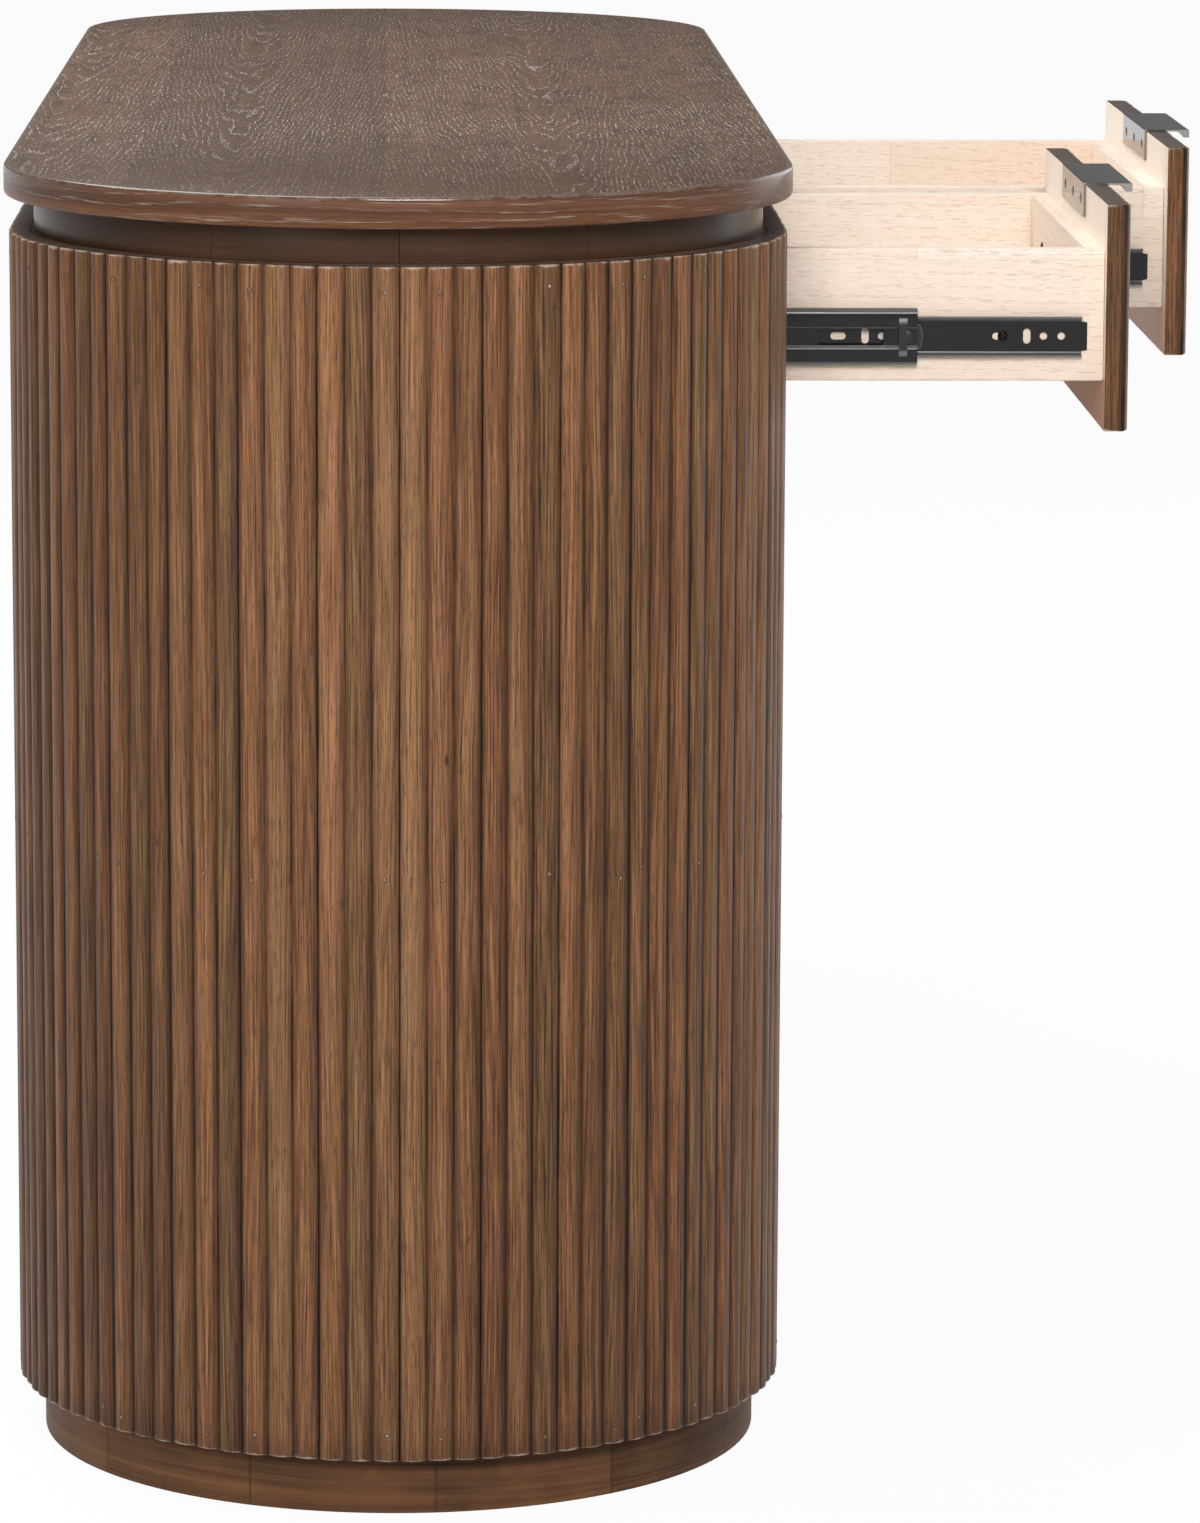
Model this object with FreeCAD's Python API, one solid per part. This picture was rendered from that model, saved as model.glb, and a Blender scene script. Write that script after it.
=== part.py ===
import FreeCAD, Part
import math
import os

# A reeded desk with half-round ends: a two-drawer case hung between two closed pedestals.
# Millimetres, +Z up. X runs along the desk, the drawers open towards -Y.
# The origin lies on the floor at mid length, in the middle of the back plinth rail's underside.

# Overall sizes
desk_height = 762.0
top_length = 1590.0
top_width = 464.0
top_thickness = 18.0
top_overhang = 3.5
riser_height = 21.0
plinth_height = 35.0
pedestal_front_run = 155.0

# Top slab
edge_band_thickness = 6.0
edge_round = 3.0

# Reeded staves
reed_pitch = 15.5
reeds_per_stave = 3
reed_depth = 2.4
groove_width = 1.4
stave_thickness = 12.0

# Riser band that sets the top off from the body
riser_inset = 14.0
riser_thickness = 12.0
drawer_riser_setback = 24.0

# Carcass boards
carcass_board = 18.0
back_board = 15.0
rib_lift = 340.0
case_floor_lift = 12.0
case_floor_thickness = 9.0
case_floor_setback = 17.5

# Plinth
plinth_inset = 14.5
plinth_wall = 30.0
plinth_knee_inset = 20.0

# Drawer fronts
front_gap = 2.0
front_height = 140.0
front_top_gap = 1.0
front_thickness = 15.0

# Drawer boxes
box_lift = 30.0
box_height = 82.0
box_length = 350.0
box_wall = 12.0
box_floor_thickness = 6.0
box_floor_lift = 8.0
groove_depth = 6.0
groove_play = 0.2

# Edge pulls
pull_length = 140.0
pull_sheet = 1.5
pull_leg = 20.0
pull_reach = 14.4
lip_width = 6.9
lip_foot = 3.8
lip_drop = 4.1
pull_screw_spacing = 50.0

# Ball-bearing slides
slide_length = 305.0
slide_space = 12.7
slide_lift = 28.0
slide_sheet = 1.2
case_rail_height = 45.0
case_rail_depth = 10.0
mid_rail_height = 34.8
mid_rail_start = 4.2
mid_rail_depth = 7.2
mid_band_height = 13.0
mid_band_recess = 1.5
drawer_rail_height = 24.7
drawer_rail_depth = 5.2
rail_tab_height = 17.0
rail_tab_length = 3.5
drawer_rail_setback = 10.5
mid_rail_setback = 5.0
case_rail_setback = 9.0
ball_diameter = 3.4
ball_spacing = 22.0
balls_per_row = 6
ball_play = 0.3
cage_height = 2.0
cage_width = 4.4
cage_end = 8.0
cage_home = 82.0
window_length = 40.0
window_height = 11.0
window_from_front = 21.0
slot_length = 9.6
slot_width = 4.8
rail_hole = 4.6
end_hole_station = 16.0
hole_station = 27.0
upright_slot_station = 37.3
long_slot_station = 54.0
hole_group_pitch = 100.0
screw_in_slot = 1.8
strap_sheet = 1.0
strap_width = 5.2
strap_height = 23.5
strap_from_front = 11.5
strap_boss = 9.0
stop_height = 16.5
stop_reach = 3.5
stop_seat = 6.0

# Screws
screw_head_diameter = 6.6
screw_head_height = 2.2
screw_shank = 3.2
screw_play = 0.3
screw_cover = 2.0

# How far each drawer stands open, as modelled
left_open = 222.0
right_open = 305.0

# Worked-out levels and planes, about the desk's own middle
body_length = top_length - 2.0 * top_overhang
body_width = top_width - 2.0 * top_overhang
top_underside = desk_height - top_thickness
ledge_height = top_underside - riser_height
rib_height = plinth_height + rib_lift
sub_top_bottom = ledge_height - carcass_board
inner_half = body_width / 2.0 - stave_thickness
straight_half = (body_length - body_width) / 2.0
knee_half_width = straight_half - pedestal_front_run
end_radius = body_width / 2.0
back_face = inner_half - back_board
notch_plane = -(body_width / 2.0 - drawer_riser_setback)
front_face = -body_width / 2.0
front_inner = front_face + front_thickness
front_top = ledge_height - front_top_gap
front_bottom = front_top - front_height
case_floor_bottom = front_bottom + case_floor_lift
box_bottom = front_bottom + box_lift
slide_height = box_bottom + slide_lift
divider_half = carcass_board / 2.0
front_near = front_gap / 2.0
front_far = knee_half_width - front_gap
box_near = divider_half + slide_space
box_far = knee_half_width - slide_space
box_top = box_bottom + box_height
plinth_outer = body_width / 2.0 - plinth_inset
plinth_inner = plinth_outer - plinth_wall
plinth_knee = knee_half_width + plinth_knee_inset
case_rail_front = front_inner + case_rail_setback
mid_rail_front = front_inner + mid_rail_setback
drawer_rail_front = front_inner + drawer_rail_setback
case_screw_length = slide_sheet + divider_half - screw_cover
drawer_screw_length = slide_sheet + box_wall - screw_cover
front_bite = front_thickness - reed_depth - screw_cover
pull_screw_length = pull_sheet + front_bite
front_screw_length = box_wall + front_bite
hole_groups = int((slide_length - long_slot_station - slot_length) // hole_group_pitch) + 1
shift = FreeCAD.Vector(0.0, -(plinth_outer + plinth_inner) / 2.0, 0.0)


def box(x0, x1, y0, y1, z0, z1):
    """Block between two corners."""
    return Part.makeBox(x1 - x0, y1 - y0, z1 - z0, FreeCAD.Vector(x0, y0, z0))


def rod(start, axis, length, diameter):
    """Cylinder from a point along an axis."""
    return Part.makeCylinder(diameter / 2.0, length, FreeCAD.Vector(*start), FreeCAD.Vector(*axis))


def prism(points, direction):
    """Straight-sided outline pushed along a direction."""
    corners = [FreeCAD.Vector(*point) for point in points]
    return Part.Face(Part.makePolygon(corners + corners[:1])).extrude(FreeCAD.Vector(*direction))


def stadium(inset, z0, z1):
    """Block with half-round ends, set in from the reed crests by an even margin."""
    radius = end_radius - inset
    turns = ((-1.0, -1.0), (1.0, -1.0), (1.0, 1.0), (-1.0, 1.0))
    corners = [FreeCAD.Vector(along * straight_half, across * radius, z0) for along, across in turns]
    right_tip = FreeCAD.Vector(straight_half + radius, 0.0, z0)
    left_tip = FreeCAD.Vector(-straight_half - radius, 0.0, z0)
    outline = Part.Wire([
        Part.LineSegment(corners[0], corners[1]).toShape(),
        Part.Arc(corners[1], right_tip, corners[2]).toShape(),
        Part.LineSegment(corners[2], corners[3]).toShape(),
        Part.Arc(corners[3], left_tip, corners[0]).toShape()])
    return Part.Face(outline).extrude(FreeCAD.Vector(0.0, 0.0, z1 - z0))


def mirrored(shape):
    """The same piece on the other side of the desk's middle."""
    return shape.mirror(FreeCAD.Vector(0.0, 0.0, 0.0), FreeCAD.Vector(1.0, 0.0, 0.0))


def save(node, shapes):
    """Write one node, a single solid or a group of separate solids, in the part's frame."""
    solids = [solid for shape in shapes for solid in shape.Solids]
    shape = solids[0] if len(solids) == 1 else Part.makeCompound(solids)
    shape.translated(shift).exportStep(os.path.join("parts", node + ".step"))


def save_pair(node, shapes):
    """Write a right-hand node and its mirrored left-hand twin."""
    save("right_" + node, shapes)
    save("left_" + node, [mirrored(shape) for shape in shapes])


def shared_reeds(length):
    """Reed counts of the staves along a run, as even as they come and no more than a full stave."""
    reeds = max(1, round(length / reed_pitch))
    staves = math.ceil(reeds / reeds_per_stave)
    return [reeds // staves + (1 if index < reeds % staves else 0) for index in range(staves)]


def reeded_board(middle, outward, width, half_angle, reeds, thickness, z0, z1):
    """Upright board with convex reeds on its outer face and mitred edges.

    The middle point lies on the plane of the reed crests; the width is measured on the groove floor.
    """
    nx, ny = outward
    tx, ty = -ny, nx
    inner_width = width - 2.0 * (thickness - reed_depth) * math.tan(half_angle)

    def point(along, inward):
        x = middle[0] + tx * along - nx * inward
        y = middle[1] + ty * along - ny * inward
        return FreeCAD.Vector(x, y, z0)

    pitch = width / reeds
    edges = []
    last = point(-width / 2.0, reed_depth)
    for index in range(reeds):
        start = -width / 2.0 + index * pitch
        foot = point(start + groove_width / 2.0, reed_depth)
        crest = point(start + pitch / 2.0, 0.0)
        end = point(start + pitch - groove_width / 2.0, reed_depth)
        edges.append(Part.LineSegment(last, foot).toShape())
        edges.append(Part.Arc(foot, crest, end).toShape())
        last = end
    outline = [last, point(width / 2.0, reed_depth), point(inner_width / 2.0, thickness),
               point(-inner_width / 2.0, thickness), point(-width / 2.0, reed_depth)]
    edges += [Part.LineSegment(a, b).toShape() for a, b in zip(outline, outline[1:])]
    return Part.Face(Part.Wire(edges)).extrude(FreeCAD.Vector(0.0, 0.0, z1 - z0))


def stave(middle, outward, width, half_angle, reeds):
    """One stave of the body, from the plinth to the ledge."""
    return reeded_board(middle, outward, width, half_angle, reeds, stave_thickness,
                        plinth_height, ledge_height)


def end_staves():
    """Staves round the right-hand end, worked from the tip towards both sides."""
    counts = shared_reeds(math.pi / 2.0 * end_radius)
    step = math.pi / 2.0 / sum(counts)
    staves = []
    turned = 0.0
    for reeds in counts:
        half_angle = reeds * step / 2.0
        width = 2.0 * (end_radius - reed_depth) * math.tan(half_angle)
        for side in (-1.0, 1.0):
            angle = side * (turned + half_angle)
            outward = (math.cos(angle), math.sin(angle))
            middle = (straight_half + end_radius * outward[0], end_radius * outward[1])
            staves.append(stave(middle, outward, width, half_angle, reeds))
        turned += 2.0 * half_angle
    return staves


def straight_staves(x0, x1, side):
    """Staves along a straight run of the front or the back."""
    counts = shared_reeds(x1 - x0)
    pitch = (x1 - x0) / sum(counts)
    staves = []
    x = x0
    for reeds in counts:
        width = reeds * pitch
        staves.append(stave((x + width / 2.0, side * end_radius), (0.0, side), width, 0.0, reeds))
        x += width
    return staves


def desk_top():
    """Veneered slab and the solid lipping bent round it, with rounded arrises."""
    core_inset = edge_band_thickness - top_overhang
    whole = stadium(-top_overhang, top_underside, desk_height)
    rims = [edge for edge in whole.Edges if edge.BoundBox.ZLength < edge_round]
    whole = whole.makeFillet(edge_round, rims)
    core = stadium(core_inset, top_underside, desk_height)
    save("top_slab", [core])
    save("top_edge_band", [whole.cut(core)])


def riser():
    """Bent strips between the top and the body, butted at the ends' tips, and the rail over the drawers."""
    ring = stadium(riser_inset, ledge_height, top_underside)
    ring = ring.cut(stadium(riser_inset + riser_thickness, ledge_height, top_underside))
    reach = body_length
    front = ring.common(box(knee_half_width, reach, -reach, 0.0, 0.0, desk_height))
    back = ring.common(box(0.0, reach, 0.0, reach, 0.0, desk_height))
    save_pair("riser_band", [front, back])
    rail = box(-knee_half_width, knee_half_width, notch_plane, notch_plane + carcass_board,
               ledge_height, top_underside)
    save("drawer_riser_rail", [rail])


def carcass():
    """Boards inside the reeded skin and the case that the drawers run in."""
    reach = body_length
    sub_top = stadium(stave_thickness, sub_top_bottom, ledge_height)
    notch = box(-knee_half_width, knee_half_width, -reach, notch_plane, sub_top_bottom, ledge_height)
    save("sub_top", [sub_top.cut(notch)])
    knee_outer = knee_half_width + carcass_board
    beyond_knee = box(knee_outer, reach, -reach, reach, 0.0, desk_height)
    floor = stadium(stave_thickness, plinth_height, plinth_height + carcass_board).common(beyond_knee)
    save_pair("pedestal_floor", [floor])
    rib = stadium(stave_thickness, rib_height, rib_height + carcass_board).common(beyond_knee)
    save_pair("pedestal_rib", [rib])
    side = box(knee_half_width, knee_outer, -inner_half, inner_half, plinth_height, sub_top_bottom)
    save_pair("knee_side", [side.cut(Part.makeCompound(rail_bores(outer_slide)))])
    back = box(-knee_half_width, knee_half_width, back_face, inner_half, plinth_height, sub_top_bottom)
    save("back_panel", [back])
    case_floor_top = case_floor_bottom + case_floor_thickness
    case_floor = box(-knee_half_width, knee_half_width, front_face + case_floor_setback, back_face,
                     case_floor_bottom, case_floor_top)
    save("case_floor", [case_floor])
    divider = box(-divider_half, divider_half, notch_plane, back_face, case_floor_top, sub_top_bottom)
    right_bores = rail_bores(inner_slide)
    bores = right_bores + [mirrored(bore) for bore in right_bores]
    save("centre_divider", [divider.cut(Part.makeCompound(bores))])


def reeding():
    """Staves of both ends, the short front runs and the whole back."""
    save_pair("end_staves", end_staves())
    save_pair("front_staves", straight_staves(knee_half_width, straight_half, -1.0))
    save("back_staves", straight_staves(-straight_half, straight_half, 1.0))


def plinth():
    """Bent plinth bands with a cross board each, and the rail along the back."""
    reach = body_length
    ring = stadium(plinth_inset, 0.0, plinth_height)
    ring = ring.cut(stadium(plinth_inset + plinth_wall, 0.0, plinth_height))
    band = ring.common(box(plinth_knee, reach, -reach, reach, 0.0, plinth_height))
    cross = box(plinth_knee, plinth_knee + plinth_wall, -plinth_inner, plinth_inner, 0.0, plinth_height)
    save_pair("plinth", [band, cross])
    rail = box(-plinth_knee, plinth_knee, plinth_inner, plinth_outer, 0.0, plinth_height)
    save("back_plinth_rail", [rail])


def outer_slide(shape):
    """Place a slide piece on the right drawer's outer wall; it is drawn on a wall facing +X at x 0."""
    return mirrored(shape).translated(FreeCAD.Vector(knee_half_width, 0.0, slide_height))


def inner_slide(shape):
    """Place a slide piece on the divider's right-hand face."""
    return shape.translated(FreeCAD.Vector(divider_half, 0.0, slide_height))


def channel(start, depth, height, front, web_at_end):
    """Rolled channel, its web first or last across the slide's thickness."""
    half = height / 2.0
    whole = box(start, start + depth, front, front + slide_length, -half, half)
    if web_at_end:
        inside = box(start, start + depth - slide_sheet, front, front + slide_length,
                     -half + slide_sheet, half - slide_sheet)
    else:
        inside = box(start + slide_sheet, start + depth, front, front + slide_length,
                     -half + slide_sheet, half - slide_sheet)
    return whole.cut(inside)


def slot(middle, along):
    """Cutter for a round-ended slot through a rail's web."""
    x, y, z = middle
    half = slot_width / 2.0
    run = (slot_length - slot_width) / 2.0
    dy, dz = (run, 0.0) if along == "y" else (0.0, run)
    wide, tall = (run, half) if along == "y" else (half, run)
    block = box(x, x + slide_sheet, y - wide, y + wide, z - tall, z + tall)
    ends = [rod((x, y + turn * dy, z + turn * dz), (1, 0, 0), slide_sheet, slot_width)
            for turn in (-1.0, 1.0)]
    return block.fuse(ends)


def screw_places(front):
    """Stations of a rail's screws: towards the front of its first and last long slots."""
    first = front + long_slot_station - screw_in_slot
    return [first, first + (hole_groups - 1) * hole_group_pitch]


def screw(start, axis, length):
    """Pan-head screw: the start is under the head and the axis points into the wood."""
    head = rod(start, tuple(-part for part in axis), screw_head_height, screw_head_diameter)
    return head.fuse(rod(start, axis, length, screw_shank))


def screw_bore(start, axis, length):
    """Pilot hole for a screw's shank, with play all round."""
    return rod(start, axis, length + screw_play, screw_shank + 2.0 * screw_play)


def rail_bores(place):
    """Pilot holes that the case rail's screws leave in the wall behind it."""
    depth = case_screw_length - slide_sheet
    return [place(screw_bore((0.0, y, 0.0), (-1, 0, 0), depth)) for y in screw_places(case_rail_front)]


def case_rails():
    """Outer slide members on the case walls, with their screws."""
    rail = channel(0.0, case_rail_depth, case_rail_height, case_rail_front, False)
    seats = [(slide_sheet, y, 0.0) for y in screw_places(case_rail_front)]
    bores = [screw_bore(seat, (-1, 0, 0), slide_sheet) for seat in seats]
    screws = [screw(seat, (-1, 0, 0), case_screw_length) for seat in seats]
    save_pair("case_rails", on_both_walls([rail.cut(Part.makeCompound(bores))]))
    save_pair("case_rail_screws", on_both_walls(screws))


def drawer_rail():
    """Inner slide member: groups of a hole and two slots in its web, which lies on the drawer side."""
    web = slide_space - slide_sheet
    front = drawer_rail_front
    start = slide_space - drawer_rail_depth
    rail = channel(start, drawer_rail_depth, drawer_rail_height, front, True)
    cutters = [rod((web, front + end_hole_station, 0.0), (1, 0, 0), slide_sheet, rail_hole)]
    tab, edge = rail_tab_height / 2.0, drawer_rail_height / 2.0
    for low, high in ((-edge, -tab), (tab, edge)):
        cutters.append(box(start, slide_space, front, front + rail_tab_length, low, high))
    for group in range(hole_groups):
        station = front + group * hole_group_pitch
        cutters.append(rod((web, station + hole_station, 0.0), (1, 0, 0), slide_sheet, rail_hole))
        cutters.append(slot((web, station + upright_slot_station, 0.0), "z"))
        cutters.append(slot((web, station + long_slot_station, 0.0), "y"))
    return rail.cut(Part.makeCompound(cutters))


def mid_rail():
    """Middle slide member: a recessed band along its web, with a window near the front."""
    rail = channel(mid_rail_start, mid_rail_depth, mid_rail_height, mid_rail_front, False)
    rear = mid_rail_front + slide_length
    half = mid_band_height / 2.0
    floor = mid_rail_start + mid_band_recess
    trough = box(mid_rail_start, floor, mid_rail_front, rear, -half + slide_sheet, half - slide_sheet)
    step = box(mid_rail_start, floor + slide_sheet, mid_rail_front, rear, -half, half)
    window_front = mid_rail_front + window_from_front
    window = box(floor, floor + slide_sheet, window_front, window_front + window_length,
                 -window_height / 2.0, window_height / 2.0)
    return rail.fuse(step).cut(Part.makeCompound([trough, window])).removeSplitter()


def mid_strap():
    """Strap with a round boss on the outside of the middle member's web."""
    start = mid_rail_start - strap_sheet
    rear = mid_rail_front + strap_from_front
    strap = box(start, mid_rail_start, rear - strap_width, rear, -strap_height / 2.0, strap_height / 2.0)
    boss = rod((start, rear - strap_width, 0.0), (1, 0, 0), strap_sheet, strap_boss)
    return strap.fuse(boss).removeSplitter()


def mid_stop():
    """Bowed stop that lies on the inside of the recessed band and looks out past its front end."""
    start = mid_rail_start + mid_band_recess + slide_sheet
    half = stop_height / 2.0
    tip = mid_rail_front - stop_reach
    seat = mid_rail_front + stop_seat
    upper = FreeCAD.Vector(start, mid_rail_front, half)
    lower = FreeCAD.Vector(start, mid_rail_front, -half)
    outline = Part.Wire([
        Part.Arc(upper, FreeCAD.Vector(start, tip, 0.0), lower).toShape(),
        Part.LineSegment(lower, FreeCAD.Vector(start, seat, -half)).toShape(),
        Part.LineSegment(FreeCAD.Vector(start, seat, -half), FreeCAD.Vector(start, seat, half)).toShape(),
        Part.LineSegment(FreeCAD.Vector(start, seat, half), upper).toShape()])
    return Part.Face(outline).extrude(FreeCAD.Vector(strap_sheet, 0.0, 0.0))


def ball_cage(across, level):
    """Cage strips with balls in round pockets, one above and one below the slide's middle."""
    length = (balls_per_row - 1) * ball_spacing + 2.0 * cage_end
    front = case_rail_front + cage_home
    pieces = []
    for row in (-level, level):
        strip = box(across - cage_width / 2.0, across + cage_width / 2.0, front, front + length,
                    row - cage_height / 2.0, row + cage_height / 2.0)
        places = [front + cage_end + index * ball_spacing for index in range(balls_per_row)]
        pocket = ball_diameter + ball_play
        pockets = [rod((across, y, row - cage_height / 2.0), (0, 0, 1), cage_height, pocket) for y in places]
        pieces.append(strip.cut(Part.makeCompound(pockets)))
        pieces += [Part.makeSphere(ball_diameter / 2.0, FreeCAD.Vector(across, y, row)) for y in places]
    return pieces


def outer_cage():
    """Cages between the case rail's flanges and the middle rail."""
    level = (case_rail_height / 2.0 - slide_sheet + mid_rail_height / 2.0) / 2.0
    across = (mid_rail_start + case_rail_depth) / 2.0
    return ball_cage(across, level)


def inner_cage():
    """Cages between the middle rail's flanges and the drawer rail."""
    level = (mid_rail_height / 2.0 - slide_sheet + drawer_rail_height / 2.0) / 2.0
    across = (slide_space - drawer_rail_depth + mid_rail_start + mid_rail_depth) / 2.0
    return ball_cage(across, level)


def on_both_walls(pieces):
    """The same slide pieces on the outer wall and on the divider."""
    return [place(piece) for place in (outer_slide, inner_slide) for piece in pieces]


def drawer_front():
    """Reeded front board with pilot holes for the pull's and the box's screws."""
    middle = ((front_near + front_far) / 2.0, front_face)
    width = front_far - front_near
    reeds = max(1, round(width / reed_pitch))
    board = reeded_board(middle, (0.0, -1.0), width, 0.0, reeds, front_thickness, front_bottom, front_top)
    pull_depth = pull_screw_length - pull_sheet
    front_depth = front_screw_length - box_wall
    bores = [screw_bore((x, front_inner, z), (0, -1, 0), pull_depth) for x, z in pull_screw_places()]
    bores += [screw_bore((x, front_inner, z), (0, -1, 0), front_depth) for x, z in front_screw_places()]
    return board.cut(Part.makeCompound(bores))


def pull_screw_places():
    """Three screws in a row on the pull's back leg."""
    middle = (front_near + front_far) / 2.0
    z = front_top - pull_leg / 2.0
    return [(middle + step * pull_screw_spacing, z) for step in (-1.0, 0.0, 1.0)]


def front_screw_places():
    """Four screws that hold the front to the box."""
    quarter = (box_far - box_near) / 4.0
    levels = (box_bottom + box_height / 3.0, box_bottom + box_height * 2.0 / 3.0)
    return [(box_near + step * quarter, z) for step in (1.0, 3.0) for z in levels]


def drawer_box():
    """Box sides, front, back and floor, the floor held in grooves all round."""
    rear = front_inner + box_length
    floor_bottom = box_bottom + box_floor_lift
    floor_top = floor_bottom + box_floor_thickness
    reach = groove_depth - groove_play
    groove = box(box_near + box_wall - groove_depth, box_far - box_wall + groove_depth,
                 front_inner + box_wall - groove_depth, rear - box_wall + groove_depth,
                 floor_bottom - groove_play, floor_top + groove_play)
    floor = box(box_near + box_wall - reach, box_far - box_wall + reach,
                front_inner + box_wall - reach, rear - box_wall + reach, floor_bottom, floor_top)
    near_side = box(box_near, box_near + box_wall, front_inner, rear, box_bottom, box_top)
    far_side = box(box_far - box_wall, box_far, front_inner, rear, box_bottom, box_top)
    depth = drawer_screw_length - slide_sheet
    bores = [screw_bore((slide_space, y, 0.0), (1, 0, 0), depth) for y in screw_places(drawer_rail_front)]
    near_side = near_side.cut(Part.makeCompound([inner_slide(bore) for bore in bores]))
    far_side = far_side.cut(Part.makeCompound([outer_slide(bore) for bore in bores]))
    inner_front = box(box_near + box_wall, box_far - box_wall, front_inner, front_inner + box_wall,
                      box_bottom, box_top)
    holes = [screw_bore((x, front_inner + box_wall, z), (0, -1, 0), box_wall)
             for x, z in front_screw_places()]
    inner_front = inner_front.cut(Part.makeCompound(holes))
    back = box(box_near + box_wall, box_far - box_wall, rear - box_wall, rear, box_bottom, box_top)
    return {"drawer_inner_side": near_side.cut(groove), "drawer_outer_side": far_side.cut(groove),
            "drawer_box_front": inner_front.cut(groove), "drawer_box_back": back.cut(groove),
            "drawer_floor": floor}


def pull():
    """Bent edge pull: back leg on the inner face, plate over the top edge, lip turned down in front."""
    middle = (front_near + front_far) / 2.0
    x0 = middle - pull_length / 2.0
    behind = front_inner + pull_sheet
    ahead = front_face - pull_reach
    plate_top = front_top + pull_sheet
    outline = [(x0, behind, front_top - pull_leg), (x0, behind, plate_top), (x0, ahead, plate_top),
               (x0, ahead, front_top - lip_drop), (x0, ahead + lip_foot, front_top - lip_drop),
               (x0, ahead + lip_width, front_top), (x0, front_inner, front_top),
               (x0, front_inner, front_top - pull_leg)]
    holes = [screw_bore((x, behind, z), (0, -1, 0), pull_sheet) for x, z in pull_screw_places()]
    return prism(outline, (pull_length, 0.0, 0.0)).cut(Part.makeCompound(holes))


def drawer_pieces():
    """Every piece that moves with the right-hand drawer, closed."""
    web = slide_space - slide_sheet
    rail_screws = [screw((web, y, 0.0), (1, 0, 0), drawer_screw_length)
                   for y in screw_places(drawer_rail_front)]
    pull_screws = [screw((x, front_inner + pull_sheet, z), (0, -1, 0), pull_screw_length)
                   for x, z in pull_screw_places()]
    front_screws = [screw((x, front_inner + box_wall, z), (0, -1, 0), front_screw_length)
                    for x, z in front_screw_places()]
    pieces = {name: [shape] for name, shape in drawer_box().items()}
    pieces["drawer_front"] = [drawer_front()]
    pieces["drawer_pull"] = [pull()]
    pieces["drawer_pull_screws"] = pull_screws
    pieces["drawer_front_screws"] = front_screws
    pieces["drawer_rails"] = on_both_walls([drawer_rail()])
    pieces["drawer_rail_screws"] = on_both_walls(rail_screws)
    return pieces


def save_moving(name, shapes, share):
    """Write a moving node on both sides, drawn out by its share of each drawer's travel."""
    for side, opened in (("right_", right_open), ("left_", left_open)):
        out = FreeCAD.Vector(0.0, -share * opened, 0.0)
        drawn = [shape.translated(out) for shape in shapes]
        save(side + name, drawn if side == "right_" else [mirrored(shape) for shape in drawn])


def drawers():
    """Both drawers with their slides: the middle members go half as far, the cages a quarter and three."""
    for name, shapes in drawer_pieces().items():
        save_moving(name, shapes, 1.0)
    save_moving("mid_rails", on_both_walls([mid_rail()]), 0.5)
    save_moving("mid_rail_clips", on_both_walls([mid_strap(), mid_stop()]), 0.5)
    save_moving("outer_ball_cages", on_both_walls(outer_cage()), 0.25)
    save_moving("inner_ball_cages", on_both_walls(inner_cage()), 0.75)


os.makedirs("parts", exist_ok=True)
desk_top()
riser()
carcass()
reeding()
plinth()
case_rails()
drawers()
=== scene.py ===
import math

import bmesh
import bpy
import numpy as np
from bpy.props import FloatProperty, FloatVectorProperty, IntProperty, PointerProperty
from mathutils import Matrix, Vector


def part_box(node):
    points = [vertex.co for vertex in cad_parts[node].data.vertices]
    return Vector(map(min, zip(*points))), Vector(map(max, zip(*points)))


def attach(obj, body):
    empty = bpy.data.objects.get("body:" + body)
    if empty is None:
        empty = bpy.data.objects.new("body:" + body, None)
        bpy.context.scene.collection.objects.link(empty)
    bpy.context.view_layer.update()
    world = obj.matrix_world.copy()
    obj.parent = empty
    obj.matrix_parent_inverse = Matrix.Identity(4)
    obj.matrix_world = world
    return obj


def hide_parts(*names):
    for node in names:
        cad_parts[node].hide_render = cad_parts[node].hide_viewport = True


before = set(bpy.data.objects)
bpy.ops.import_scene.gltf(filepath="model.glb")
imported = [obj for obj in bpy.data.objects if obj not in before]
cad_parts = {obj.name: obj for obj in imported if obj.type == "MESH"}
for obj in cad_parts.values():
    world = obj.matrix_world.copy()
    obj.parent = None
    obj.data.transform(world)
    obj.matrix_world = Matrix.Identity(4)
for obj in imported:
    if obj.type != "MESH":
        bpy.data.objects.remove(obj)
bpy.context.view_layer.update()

bl_info = {
    "name": "Reeded Desk",
    "version": (1, 0, 0),
    "blender": (4, 5, 0),
    "location": "View3D > Sidebar > Desk",
    "description": "Dresses the packed desk: reeded staves, veneered top, drawers on slides, pale studio",
    "category": "Object",
}

SIDES = (("left", -1.0), ("right", 1.0))
SIDE_NAMES = tuple(side for side, sign in SIDES)
MM = 0.001
# Half heights of the window in a middle slide member and of the flat pads round a drawer member's holes
WINDOW_HALF = 5.1 * MM
HOLE_PAD_HALF = 6.0 * MM
QUARTER = math.pi / 2.0
# Seeds of the random draws, one for each group of pieces
SEEDS = {"staves": 3608, "plinths": 300, "rails": 310, "knee_sides": 410, "panels": 420, "divider": 430,
         "fronts": 501, "box_walls": 600, "box_cross": 610, "screws": 700}


def corners(node):
    """Lowest and highest corner of a CAD node as arrays."""
    low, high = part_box(node)
    return np.array(low), np.array(high)


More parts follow.
